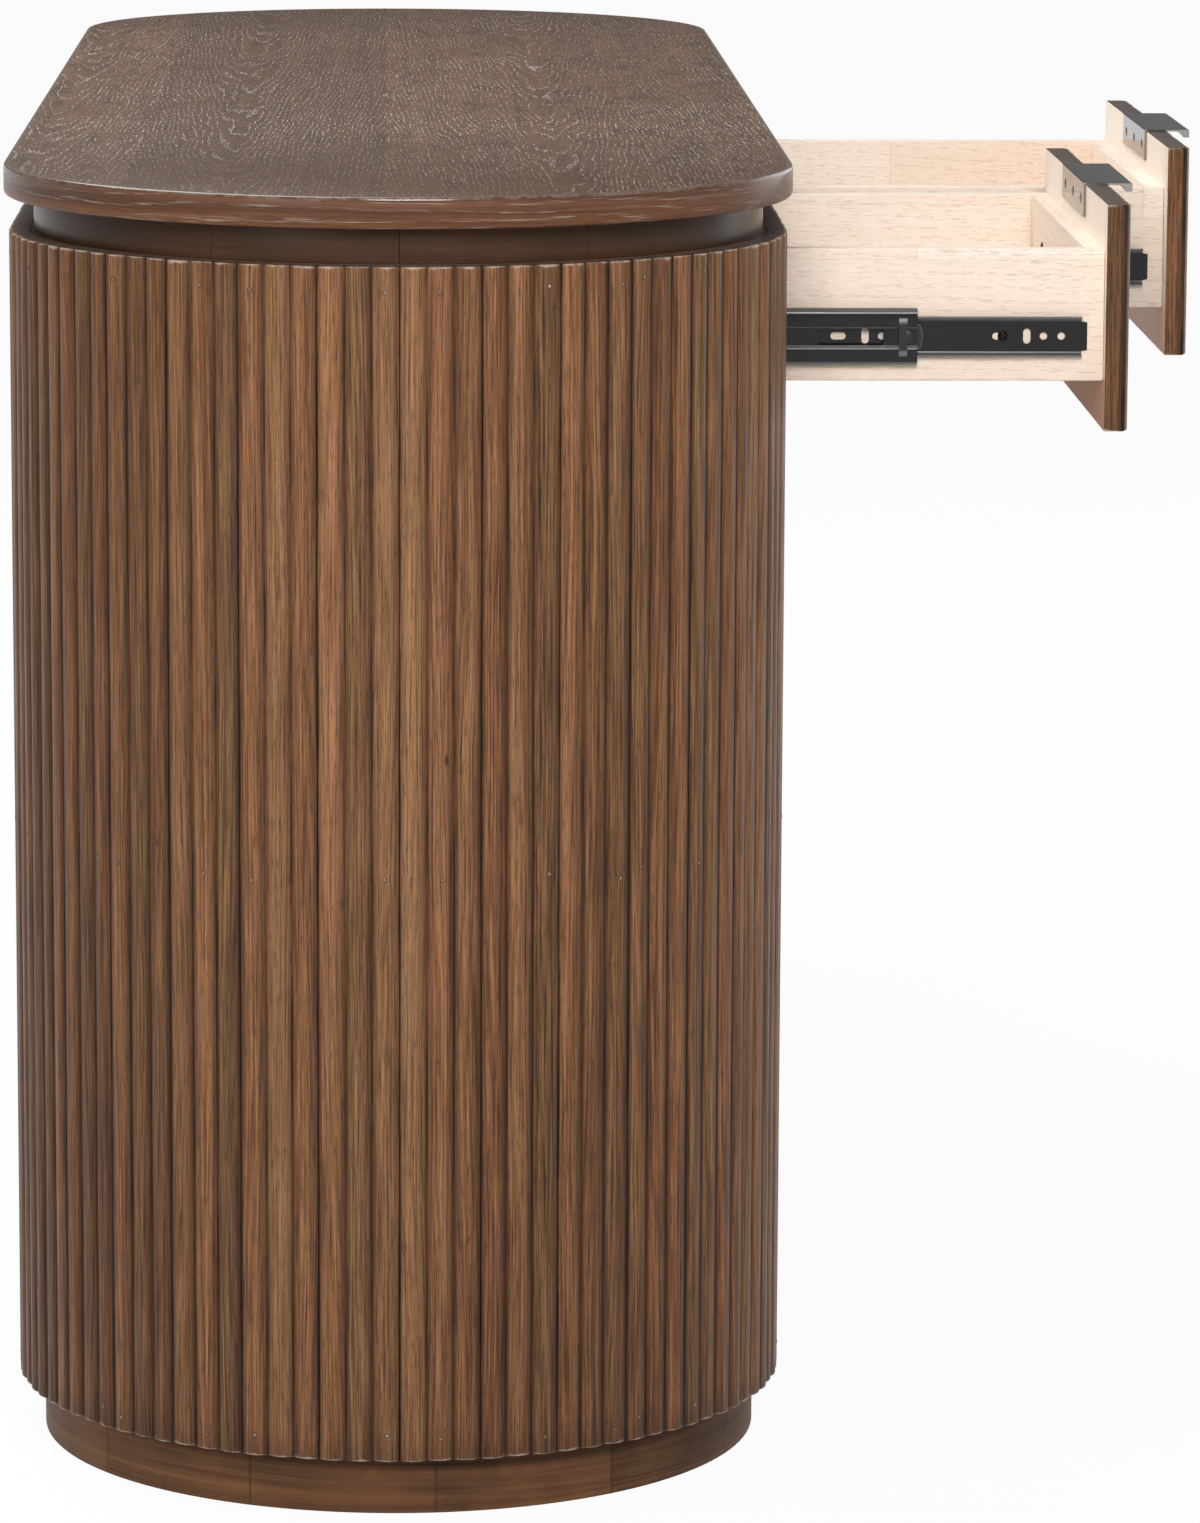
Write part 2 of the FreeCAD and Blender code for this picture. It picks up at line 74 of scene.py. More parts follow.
# Plan of the desk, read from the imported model
band_low, band_high = corners("top_edge_band")
skin_low, skin_high = corners("right_end_staves")
mid_y = (band_low[1] + band_high[1]) / 2.0
straight_half = band_high[0] - (band_high[1] - band_low[1]) / 2.0
skin_radius = skin_high[0] - straight_half
knee_half = corners("right_knee_side")[0][0]
divider_half = corners("centre_divider")[1][0]


def inset_of(node):
    """How far a bent node of the right end stands in from the crests of the reeds."""
    return skin_radius + straight_half - corners(node)[1][0]


def tint(label, about, value):
    """Colour property, linear."""
    return FloatVectorProperty(name=label, description=about, subtype="COLOR", size=3, min=0.0, max=1.0,
                               default=value)


def length(label, about, value):
    """Length property in metres."""
    return FloatProperty(name=label, description=about, unit="LENGTH", min=0.0, precision=5,
                         default=value)


class DeskSizes(bpy.types.PropertyGroup):
    """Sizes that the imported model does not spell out."""
    reed_pitch: length("Reed pitch", "Width of one reed with its groove", 0.0155)
    reeds_per_stave: IntProperty(name="Reeds per stave", description="Most reeds cut on one stave",
                                 min=1, default=3)
    reed_depth: length("Reed depth", "Depth of the grooves between reeds", 0.0024)
    groove_width: length("Groove width", "Flat floor of a groove", 0.0009)
    reed_crown: FloatProperty(name="Reed crown", description="Flatness of the crowns", default=2.3)
    stave_thickness: length("Stave thickness", "Stave from crest to back", 0.012)
    reed_end_round: length("Reed end round", "Rounding of the reed ends", 0.0011)
    stave_joint: length("Stave joint", "Open line between two staves", 0.00045)
    brad_diameter: length("Brad diameter", "Filled brad holes in the reeds", 0.0030)
    brad_inset: length("Brad inset", "Brads from the reed ends", 0.0125)
    brad_level: length("Brad level", "Middle row of brads above the floor", 0.373)
    veneer_leaf: length("Veneer leaf", "Width of one leaf on the top", 0.149)
    block_length: length("Block length", "Joint to joint along the bent bands", 0.118)
    strip_width: length("Strip width", "Glued strips of the drawer boards", 0.042)
    strip_block: length("Strip block", "Blocks along a strip of the drawer boards", 0.29)
    arris: length("Arris", "Softened edges of boards", 0.0011)
    slide_sheet: length("Slide sheet", "Thickness of the slide members", 0.0012)


class DeskColours(bpy.types.PropertyGroup):
    """Colours of the finishes, linear."""
    veneer_dark: tint("Veneer dark", "Late wood of the top", (0.06, 0.032, 0.018))
    veneer_light: tint("Veneer light", "Early wood of the top", (0.16, 0.086, 0.05))
    pore_fill: tint("Pore fill", "Pale filler in the open pores", (0.42, 0.375, 0.32))
    lipping_dark: tint("Lipping dark", "Dark streaks of the edge band", (0.036, 0.015, 0.008))
    lipping_light: tint("Lipping light", "Light streaks of the edge band", (0.215, 0.093, 0.046))
    reed_dark: tint("Reed dark", "Dark streaks of the reeds", (0.028, 0.011, 0.005))
    reed_middle: tint("Reed middle", "Main brown of the reeds", (0.140, 0.058, 0.024))
    reed_light: tint("Reed light", "Light streaks of the reeds", (0.312, 0.149, 0.069))
    reed_olive: tint("Reed olive", "Greyer cast of some reeds", (0.780, 0.990, 1.000))
    reed_end: tint("Reed end", "End grain of the reeded boards", (0.083, 0.070, 0.065))
    # Painted shade, with some dark glaze, on the floor of the grooves.
    crevice_shade: tint("Crevice", "Glaze left at the bottom of the grooves", (0.004, 0.002, 0.001))
    # Pale bare wood on rubbed edges, also used as painted highlight on the arrises.
    worn: tint("Worn edge", "Bare wood on rubbed edges", (0.420, 0.330, 0.260))
    stain_dark: tint("Stain dark", "Dark patches of the smooth boards", (0.034, 0.016, 0.008))
    # Darker than the other stained boards, partly painted shade under the top's overhang.
    riser_light_shaded: tint("Riser light", "Light patches of the riser strips", (0.104, 0.052, 0.026))
    stain_light: tint("Stain light", "Light patches of the smooth boards", (0.285, 0.133, 0.061))
    pale_cream: tint("Pale cream", "Cream blocks of the drawer wood", (0.900, 0.820, 0.740))
    pale_front: tint("Pale front", "Upper back of the drawer fronts", (0.970, 0.875, 0.765))
    # Darker, warmer copy of the pale wood: painted shade and warm bounce light on the lower back of the
    # drawer fronts.
    pale_back_shaded: tint("Pale back", "Lower back of the drawer fronts", (0.97, 0.5, 0.27))
    pale_tan: tint("Pale tan", "Tan blocks of the drawer wood", (0.840, 0.695, 0.570))
    vessel: tint("Vessel", "Short brown lines of the drawer wood", (0.550, 0.360, 0.250))
    pull_metal: tint("Pull metal", "Gunmetal of the pulls", (0.350, 0.335, 0.310))
    slide_black: tint("Slide black", "Black zinc of the slides", (0.004, 0.004, 0.004))
    # Painted highlight on bends and free edges of the sheet metal.
    rim_highlight: tint("Bright rim", "Light lines on rolled and cut metal edges", (0.170, 0.170, 0.165))
    clip_grey: tint("Clip grey", "Grey of straps and cages", (0.013, 0.013, 0.013))
    floor: tint("Floor", "Studio floor", (0.760, 0.760, 0.760))


class Bench:
    """Places and joins shader nodes in one tree."""

    def __init__(self, tree):
        self.tree = tree

    def put(self, kind, **settings):
        node = self.tree.nodes.new("ShaderNode" + kind)
        for key, value in settings.items():
            setattr(node, key, value)
        return node

    def feed(self, socket, value):
        if isinstance(value, bpy.types.NodeSocket):
            self.tree.links.new(value, socket)
        else:
            socket.default_value = value

    def calc(self, operation, *values, clamp=False):
        node = self.put("Math", operation=operation, use_clamp=clamp)
        for socket, value in zip(node.inputs, values):
            self.feed(socket, value)
        return node.outputs[0]

    def times(self, *values, clamp=False):
        return self.calc("MULTIPLY", *values, clamp=clamp)

    def plus(self, *values, clamp=False):
        return self.calc("ADD", *values, clamp=clamp)

    def less(self, *values):
        return self.calc("SUBTRACT", *values)

    def scaled_plus(self, value, scale, other):
        return self.calc("MULTIPLY_ADD", value, scale, other)

    def weigh(self, first, first_share, second, second_share):
        return self.plus(self.times(first, first_share), self.times(second, second_share))

    def from_middle(self, value):
        return self.calc("ABSOLUTE", self.less(self.calc("FRACT", value), 0.5))

    def vector(self, *values):
        node = self.put("CombineXYZ")
        for socket, value in zip(node.inputs, values):
            self.feed(socket, value)
        return node.outputs[0]

    def stretched(self, across, wide, along, tall, third):
        return self.vector(self.times(across, wide), self.times(along, tall), third)

    def parts(self, vector):
        node = self.put("SeparateXYZ")
        self.feed(node.inputs[0], vector)
        return node.outputs

    def noise(self, vector, detail=2.0, roughness=0.5):
        node = self.put("TexNoise")
        self.feed(node.inputs["Vector"], vector)
        node.inputs["Scale"].default_value = 1.0
        node.inputs["Detail"].default_value = detail
        node.inputs["Roughness"].default_value = roughness
        return node.outputs[0]

    def cells(self, vector):
        node = self.put("TexVoronoi")
        self.feed(node.inputs["Vector"], vector)
        node.inputs["Scale"].default_value = 1.0
        return self.parts(node.outputs["Color"]), node.outputs["Distance"]

    def chance(self, vector):
        node = self.put("TexWhiteNoise", noise_dimensions="3D")
        self.feed(node.inputs["Vector"], vector)
        return node.outputs["Value"]

    def span(self, value, low, high, start=0.0, end=1.0):
        node = self.put("MapRange", clamp=True, interpolation_type="SMOOTHSTEP")
        for socket, number in zip(node.inputs[:5], (value, low, high, start, end)):
            self.feed(socket, number)
        return node.outputs[0]

    def blend(self, share, first, second, mode="MIX"):
        node = self.put("Mix", data_type="RGBA", blend_type=mode)
        self.feed(node.inputs[0], share)
        for socket, value in ((node.inputs[6], first), (node.inputs[7], second)):
            self.feed(socket, value if isinstance(value, bpy.types.NodeSocket) else (*value[:3], 1.0))
        return node.outputs[2]

    def tinge(self, colour, other, mark, share):
        return self.blend(self.times(mark, share), colour, other)

    def ramp(self, share, stops):
        node = self.put("ValToRGB")
        self.feed(node.inputs[0], share)
        elements = node.color_ramp.elements
        while len(elements) < len(stops):
            elements.new(0.5)
        for element, (place, colour) in zip(elements, stops):
            element.position = place
            element.color = (*colour[:3], 1.0)
        return node.outputs[0]

    def value_of(self, attribute):
        node = self.put("Attribute", attribute_name=attribute)
        return node.outputs["Fac"]

    def group(self, tree, *values):
        node = self.put("Group", node_tree=tree)
        for socket, value in zip(node.inputs, values):
            self.feed(socket, value)
        return node.outputs


def effect(name, inputs, outputs):
    """Empty node group with float sockets: its bench, its inputs, and what feeds its outputs."""
    tree = bpy.data.node_groups.new(name, "ShaderNodeTree")
    for in_out, labels in (("INPUT", inputs), ("OUTPUT", outputs)):
        for label in labels:
            tree.interface.new_socket(label, in_out=in_out, socket_type="NodeSocketFloat")
    bench = Bench(tree)
    source = tree.nodes.new("NodeGroupInput")
    result = tree.nodes.new("NodeGroupOutput")

    def give(*values):
        for socket, value in zip(result.inputs, values):
            bench.feed(socket, value)
        return tree

    return bench, source.outputs, give


def streaked_grain():
    """Streaks that run along a board: noise stretched along the grain, and a few bends.

    Across and Along are metres on the board, Seed sets one board apart from another.
    """
    outputs = ("Broad", "Fine", "Pores", "Pale")
    bench, given, give = effect("streaked_grain", ("Across", "Along", "Seed"), outputs)
    across, along, seed = given[:3]
    bend = bench.scaled_plus(bench.noise(bench.stretched(across, 9.0, along, 2.2, seed)), 0.014, across)
    streaks = []
    for wide, tall, shift, detail in ((130.0, 1.6, 1.0, 3.0), (1000.0, 14.0, 1.7, 4.0),
                                      (1700.0, 90.0, 2.3, 2.0), (1500.0, 24.0, 3.1, 2.0)):
        place = bench.stretched(bend, wide, along, tall, bench.times(seed, shift))
        streaks.append(bench.noise(place, detail, 0.62))
    broad, fine, pores, pale = streaks
    return give(broad, fine, bench.span(pores, 0.56, 0.68), bench.span(pale, 0.57, 0.72))


def rubbed_edge_highlight():
    """Patchy wear and painted highlight along an arris: the edge mark less a noise, so that some
    stretches stay dark.
    """
    bench, given, give = effect("rubbed_edge_highlight", ("Edge", "Across", "Along"), ("Worn",))
    edge, across, along = given[:3]
    patch = bench.noise(bench.stretched(across, 160.0, along, 160.0, 3.0))
    return give(bench.span(bench.less(edge, bench.times(patch, 1.25)), 0.0, 0.45))


def cathedral():
    """Flat-cut figure: growth rings as cones cut by the board, r = sqrt(across^2 + d^2) - taper * along.

    Ring is the place within a ring, Flecks the open pores in its early wood, Dash how many to a metre.
    """
    inputs = ("Across", "Along", "Seed", "Ring width", "Taper", "Dash")
    bench, given, give = effect("cathedral", inputs, ("Ring", "Flecks"))
    across, along, seed, ring_width, taper, dash = given[:6]
    wave = bench.times(bench.noise(bench.stretched(across, 20.0, along, 2.4, seed), 3.0, 0.6), 0.026)
    square = bench.scaled_plus(across, across, 0.0004)
    cone = bench.less(bench.calc("SQRT", square), bench.times(along, taper))
    turn = bench.calc("DIVIDE", bench.plus(cone, wave), ring_width)
    ring = bench.calc("FRACT", bench.plus(turn, 40.0))
    early = bench.times(bench.span(ring, 0.04, 0.12), bench.span(ring, 0.40, 0.26))
    flecks = bench.noise(bench.stretched(across, 1500.0, along, dash, seed), 1.0)
    return give(ring, bench.times(early, bench.span(flecks, 0.50, 0.60)))


def rubbed_sheen():
    """Patchy sheen of a hand-rubbed or handled surface: slow noise about a middle roughness."""
    inputs = ("X", "Y", "Z", "Middle", "Swing")
    bench, given, give = effect("rubbed_sheen", inputs, ("Roughness", "Patch"))
    x, y, z, middle, swing = given[:5]
    patch = bench.noise(bench.vector(x, y, z), 3.0, 0.6)
    return give(bench.plus(middle, bench.times(bench.less(patch, 0.5), swing), clamp=True), patch)


EFFECTS = {}


def shared(make):
    """The node group of an effect, built the first time that it is asked for."""
    if make.__name__ not in EFFECTS:
        EFFECTS[make.__name__] = make()
    return EFFECTS[make.__name__]


FINISHES = {}


def finish(make, *choice):
    """A material of the desk, built the first time that it is asked for."""
    key = (make.__name__, *choice)
    if key not in FINISHES:
        FINISHES[key] = make(bpy.context.scene.desk_colours, *choice)
    return FINISHES[key]


def fresh(name):
    """New material with a cleared tree and its bench."""
    material = bpy.data.materials.new(name)
    material.use_nodes = True
    material.node_tree.nodes.clear()
    return material, Bench(material.node_tree)


def close(bench, colour, roughness, height=None, depth=0.0002, coat=0.0, **plain):
    """Principled shader at the end of a material; plain values are set on its own sockets."""
    shader = bench.put("BsdfPrincipled")
    bench.feed(shader.inputs["Coat Weight"], coat)
    bench.feed(shader.inputs["Base Color"], colour)
    bench.feed(shader.inputs["Roughness"], roughness)
    if height is not None:
        bump = bench.put("Bump")
        bump.inputs["Strength"].default_value = 0.7
        bump.inputs["Distance"].default_value = depth
        bench.feed(bump.inputs["Height"], height)
        bench.feed(shader.inputs["Normal"], bump.outputs[0])
    for label, value in plain.items():
        shader.inputs[label.replace("_", " ")].default_value = value
    out = bench.put("OutputMaterial")
    bench.feed(out.inputs["Surface"], shader.outputs[0])


def grain_place(bench):
    """Across and Along of the piece's own grain map, in metres."""
    node = bench.put("UVMap", uv_map="grain")
    parts = bench.parts(node.outputs[0])
    return parts[0], parts[1]


def object_place(bench):
    """X, Y and Z of the object."""
    node = bench.put("TexCoord")
    return bench.parts(node.outputs["Object"])


def sheen(bench, scale, middle, swing):
    """Rubbed sheen over the object's own coordinates: its roughness and its patches."""
    places = [bench.times(part, scale) for part in object_place(bench)]
    return bench.group(shared(rubbed_sheen), *places, middle, swing)


def knots(bench, place, part, kept, far, near):
    """A few round knots: only cells drawn above a limit, fading in from far to near of their middle."""
    draw, distance = bench.cells(place)
    rare = bench.span(draw[part], kept, kept + 0.01)
    return bench.times(bench.span(distance, far, near), rare)


def reeded_wood(colours):
    """Stained reeds: streaks along each reed, painted shade in the grooves, on one flank and lower down,
    pale backs.
    """
    material, bench = fresh("reeded_wood")
    across, along = grain_place(bench)
    tone = bench.value_of("tone")
    groove = bench.value_of("groove")
    broad, fine, pores, pale = bench.group(shared(streaked_grain), across, along, bench.times(tone, 7.0))
    z = object_place(bench)[2]
    # Painted shade lower down: the reeds darken towards the floor, and the shade in their grooves
    # deepens.
    painted_low_shade = bench.span(z, 0.50, 0.06)
    mixed = bench.less(bench.weigh(broad, 0.65, fine, 1.75), 0.82)
    mixed = bench.scaled_plus(painted_low_shade, -0.05, bench.scaled_plus(tone, 0.30, mixed))
    stops = ((0.10, colours.reed_dark), (0.48, colours.reed_middle), (0.92, colours.reed_light))
    colour = bench.ramp(mixed, stops)
    leaning = bench.calc("FRACT", bench.times(tone, 31.7))
    colour = bench.blend(bench.span(leaning, 0.35, 1.0, 0.0, 0.6), colour, colours.reed_olive, "MULTIPLY")
    colour = bench.tinge(colour, colours.reed_light, pale, 0.38)
    colour = bench.tinge(colour, colours.reed_dark, pores, 0.5)
    knot = knots(bench, bench.stretched(across, 40.0, along, 18.0, 0.0), 1, 0.90, 0.075, 0.03)
    colour = bench.tinge(colour, colours.reed_dark, knot, 0.8)
    luck = bench.calc("FRACT", bench.times(tone, 57.0))
    # Painted shade in the grooves, stronger on some reeds and lower down.
    filled = bench.scaled_plus(painted_low_shade, 0.25, bench.scaled_plus(luck, 0.50, 0.28))
    shade = bench.times(bench.calc("POWER", groove, 2.5), filled)
    colour = bench.blend(bench.calc("MINIMUM", shade, 0.9), colour, colours.reed_dark)
    # Painted shade on one flank of each reed, the same flank all round the desk.
    flank_shade_share = bench.times(bench.value_of("lee"), bench.scaled_plus(luck, 0.30, 0.30))
    colour = bench.blend(flank_shade_share, colour, colours.reed_dark)
    # Painted shade along the foot of the reeds.
    colour = bench.blend(bench.span(z, 0.055, 0.036, 0.0, 0.3), colour, colours.reed_dark)
    # Near-black painted shade, with some dark glaze, on the groove floors, broken along each reed.
    broken = bench.noise(bench.stretched(across, 90.0, along, 14.0, tone))
    deepest = bench.times(bench.span(groove, 0.94, 1.0), bench.span(broken, 0.42, 0.62, 0.0, 0.75))
    colour = bench.blend(deepest, colour, colours.crevice_shade)
    # Worn arrises with painted highlight at the reed ends, kept off the grooves.
    worn = bench.group(shared(rubbed_edge_highlight), bench.value_of("edge"), across, along)[0]
    worn = bench.times(worn, bench.less(0.85, bench.times(groove, 0.85)), clamp=True)
    colour = bench.blend(worn, colour, colours.worn)
    end = bench.value_of("end")
    colour = bench.tinge(colour, colours.reed_end, end, 0.8)
    # Painted shade at the groove ends on the end faces, so the grooves read as dark notches.
    notch = bench.times(end, bench.span(groove, 0.30, 0.75, 0.0, 0.9))
    colour = bench.blend(notch, colour, colours.reed_dark)
    bare = bench.blend(bench.span(broad, 0.2, 0.9, 0.0, 0.45), colours.pale_front, colours.pale_tan)
    # Painted shade with warm bounce light on the lower back of the drawer fronts.
    bare = bench.blend(bench.value_of("low"), bare, colours.pale_back_shaded)
    colour = bench.blend(bench.value_of("inner"), colour, bare)
    look = sheen(bench, 9.0, 0.40, 0.20)
    height = bench.less(bench.times(fine, 0.5), pores)
    close(bench, colour, look[0], height, 0.00025, Specular_IOR_Level=0.18)
    return material


def veneer(colours):
    """Flat-cut leaves side by side, each with its own place in the log, and pale filler in the pores."""
    material, bench = fresh("top_veneer")
    leaf_width = bpy.context.scene.desk_sizes.veneer_leaf
    seam_shift = 0.008
    x, y = object_place(bench)[:2]
    place = bench.calc("DIVIDE", bench.less(y, mid_y + seam_shift), leaf_width)
    leaf = bench.calc("FLOOR", place)
    luck = bench.chance(bench.vector(leaf, 4.0, 1.0))
    across = bench.times(bench.less(bench.calc("FRACT", place), 0.5), leaf_width)
    across = bench.plus(across, bench.times(bench.less(luck, 0.5), 0.06))
    along = bench.plus(x, bench.times(luck, 3.0))
    seed = bench.times(leaf, 5.3)
    ring, flecks = bench.group(shared(cathedral), across, along, seed, 0.0030, 0.032, 75.0)
    broad, fine, pores = bench.group(shared(streaked_grain), across, along, seed)[:3]
    mixed = bench.plus(bench.weigh(broad, 0.75, fine, 0.40), bench.times(ring, 0.26))
    mixed = bench.scaled_plus(luck, 0.24, bench.less(mixed, 0.34))
    colour = bench.ramp(mixed, ((0.15, colours.veneer_dark), (0.85, colours.veneer_light)))
    mottle = bench.noise(bench.stretched(x, 16.0, y, 60.0, seed), 4.0, 0.7)
    colour = bench.blend(bench.span(mottle, 0.46, 0.70, 0.0, 0.75), colour, colours.veneer_dark)
    # Painted shade: the top darkens towards both ends, and fewer pale pores show there.
    far_out = bench.calc("ABSOLUTE", x)
    colour = bench.blend(bench.span(far_out, 0.30, 0.78, 0.0, 0.65), colour, colours.veneer_dark)
    look = sheen(bench, 5.0, 0.42, 0.18)
    open_pores = bench.times(bench.span(look[1], 0.34, 0.64, 0.4, 1.0),
                             bench.span(far_out, 0.30, 0.75, 1.1, 0.5))
    filler = bench.times(bench.calc("MAXIMUM", flecks, bench.times(pores, 0.5)), open_pores)
    colour = bench.blend(filler, colour, colours.pore_fill)
    close(bench, colour, look[0], bench.times(filler, -1.0), 0.0002, Specular_IOR_Level=0.15)
    return material


def lipping(colours):
    """Redder edge band: long streaks round the desk, pale wavy pore lines and a darker arris under a
    glossy coat.
    """
    material, bench = fresh("edge_lipping")
    across, along = grain_place(bench)
    broad, fine, pores = bench.group(shared(streaked_grain), across, along, 2.0)[:3]
    flecks = bench.group(shared(cathedral), across, along, 9.0, 0.0026, 0.012, 42.0)[1]
    mixed = bench.less(bench.weigh(broad, 0.9, fine, 0.5), 0.22)
    colour = bench.ramp(mixed, ((0.18, colours.lipping_dark), (0.85, colours.lipping_light)))
    colour = bench.tinge(colour, colours.lipping_dark, pores, 0.5)
    colour = bench.tinge(colour, colours.pore_fill, flecks, 0.36)
    # Darker arris where the edge mark is, under a glossy coat.
    arris_zone = bench.value_of("edge")
    colour = bench.tinge(colour, colours.lipping_dark, arris_zone, 0.65)
    # Worn arris with a touch of painted highlight.
    worn = bench.group(shared(rubbed_edge_highlight), arris_zone, across, along)[0]
    colour = bench.tinge(colour, colours.worn, worn, 0.2)
    look = sheen(bench, 12.0, 0.34, 0.14)
    close(bench, colour, look[0], bench.times(flecks, -1.0), 0.0002, arris_zone,
          Specular_IOR_Level=0.10, Coat_Roughness=0.12)
    return material


def stained_wood(colours, name, light, joint, gloss, shine):
    """Smooth stained boards and bent bands, with butted blocks where a joint length is given."""
    material, bench = fresh(name)
    across, along = grain_place(bench)
    seed = bench.value_of("tone")
    broad, fine = bench.group(shared(streaked_grain), across, along, bench.times(seed, 9.0))[:2]
    look = sheen(bench, 14.0, gloss, 0.16)
    mixed = bench.less(bench.weigh(broad, 0.7, fine, 0.35), 0.42)
    mixed = bench.plus(mixed, bench.times(look[1], 0.5))
    if joint:
        block = bench.calc("DIVIDE", along, joint)
        luck = bench.chance(bench.vector(bench.calc("FLOOR", block), seed, 2.0))
        mixed = bench.scaled_plus(luck, 0.18, bench.less(mixed, 0.09))
    colour = bench.ramp(mixed, ((0.12, colours.stain_dark), (0.85, getattr(colours, light))))
    if joint:
        seam = bench.span(bench.from_middle(block), 0.490, 0.497)
        colour = bench.tinge(colour, colours.stain_dark, seam, 0.5)
    close(bench, colour, look[0], fine, 0.0001, Specular_IOR_Level=shine)
    return material


def smooth_boards():
    """Finish of the straight stained boards, without joints."""
    return finish(stained_wood, "stained_wood", "stain_light", 0.0, 0.40, 0.25)


def hidden_boards(colours):
    """Stained sheets inside the case, on object coordinates."""
    material, bench = fresh("stained_sheet")
    x, y, z = object_place(bench)
    broad, fine = bench.group(shared(streaked_grain), y, bench.plus(x, z), 4.0)[:2]
    look = sheen(bench, 11.0, 0.45, 0.15)
    mixed = bench.less(bench.weigh(broad, 0.7, look[1], 0.4), 0.1)
    colour = bench.ramp(mixed, ((0.15, colours.stain_dark), (0.85, colours.stain_light)))
    close(bench, colour, look[0], fine, 0.0001, Specular_IOR_Level=0.35)
    return material


def drawer_wood(colours):
    """Pale laminated boards: strips and finger-jointed blocks of different tone, short brown vessels."""
    material, bench = fresh("drawer_wood")
    sizes = bpy.context.scene.desk_sizes
    across, along = grain_place(bench)
    seed = bench.times(bench.value_of("tone"), 11.0)
    moved = bench.plus(across, bench.times(seed, sizes.strip_width / 2.0))
    strip_place = bench.calc("DIVIDE", moved, sizes.strip_width)
    strip = bench.calc("FLOOR", strip_place)
    shift = bench.chance(bench.vector(strip, seed, 0.0))
    block_place = bench.calc("DIVIDE", bench.plus(along, bench.times(shift, 0.4)), sizes.strip_block)
    block = bench.calc("FLOOR", block_place)
    luck = bench.chance(bench.vector(strip, block, seed))
    own = bench.plus(seed, bench.times(luck, 23.0))
    grain = bench.group(shared(streaked_grain), across, along, own)
    ring, flecks = bench.group(shared(cathedral), across, along, own, 0.0075, 0.04, 130.0)
    mixed = bench.scaled_plus(luck, 0.6, bench.times(grain["Broad"], 0.6))
    mixed = bench.plus(mixed, bench.times(ring, 0.28))
    colour = bench.ramp(mixed, ((0.25, colours.pale_cream), (0.95, colours.pale_tan)))
    lines = bench.times(bench.calc("MAXIMUM", flecks, grain["Pores"]), 0.5)
    colour = bench.blend(lines, colour, colours.vessel)
    knot = knots(bench, bench.stretched(across, 30.0, along, 10.0, seed), 0, 0.80, 0.16, 0.05)
    colour = bench.tinge(colour, colours.vessel, knot, 0.75)
    glue = bench.calc("MAXIMUM", bench.span(bench.from_middle(strip_place), 0.488, 0.497),
                      bench.span(bench.from_middle(block_place), 0.497, 0.4992))
    colour = bench.tinge(colour, colours.vessel, glue, 0.22)
    look = sheen(bench, 20.0, 0.48, 0.16)
    close(bench, colour, look[0], bench.times(lines, -1.0), 0.00012, Specular_IOR_Level=0.35)
    return material


def worked_metal(colours, tone, roughness, metallic, grit, glance=1.0):
    """Coated sheet metal: fine grit, handled patches, painted highlight on edges by mark, tinted at a
    glancing view.
    """
    material, bench = fresh(tone)
    base = tuple(getattr(colours, tone))
    pale = tuple(min(1.0, part * 1.5 + 0.006) for part in base)
    look = sheen(bench, 55.0, roughness, 0.22)
    speck = bench.noise(bench.vector(*[bench.times(part, grit) for part in object_place(bench)]))
    share = bench.plus(bench.span(speck, 0.55, 0.80, 0.0, 0.2), bench.span(look[1], 0.5, 0.8, 0.0, 0.2))
    colour = bench.blend(share, base, pale)
    # Painted highlight along the marked bends and edges.
    colour = bench.tinge(colour, colours.rim_highlight, bench.value_of("edge"), 0.75)
    close(bench, colour, look[0], speck, 0.000002, Metallic=metallic, Specular_IOR_Level=0.4,
          Specular_Tint=(glance, glance, glance, 1.0))
    return material


def gunmetal():
    """Finish of the pulls and of their screws."""
    return finish(worked_metal, "pull_metal", 0.10, 1.0, 900.0, 0.75)


def brad_filler(colours):
    """Pale filler in the brad holes, darker round its rim."""
    material, bench = fresh("brad_filler")
    rim = bench.value_of("edge")
    look = sheen(bench, 400.0, 0.5, 0.3)
    pale = bench.blend(bench.span(look[1], 0.4, 0.7, 0.0, 0.6), colours.reed_middle, colours.pore_fill)
    colour = bench.blend(rim, pale, colours.stain_dark)
    close(bench, colour, look[0])
    return material


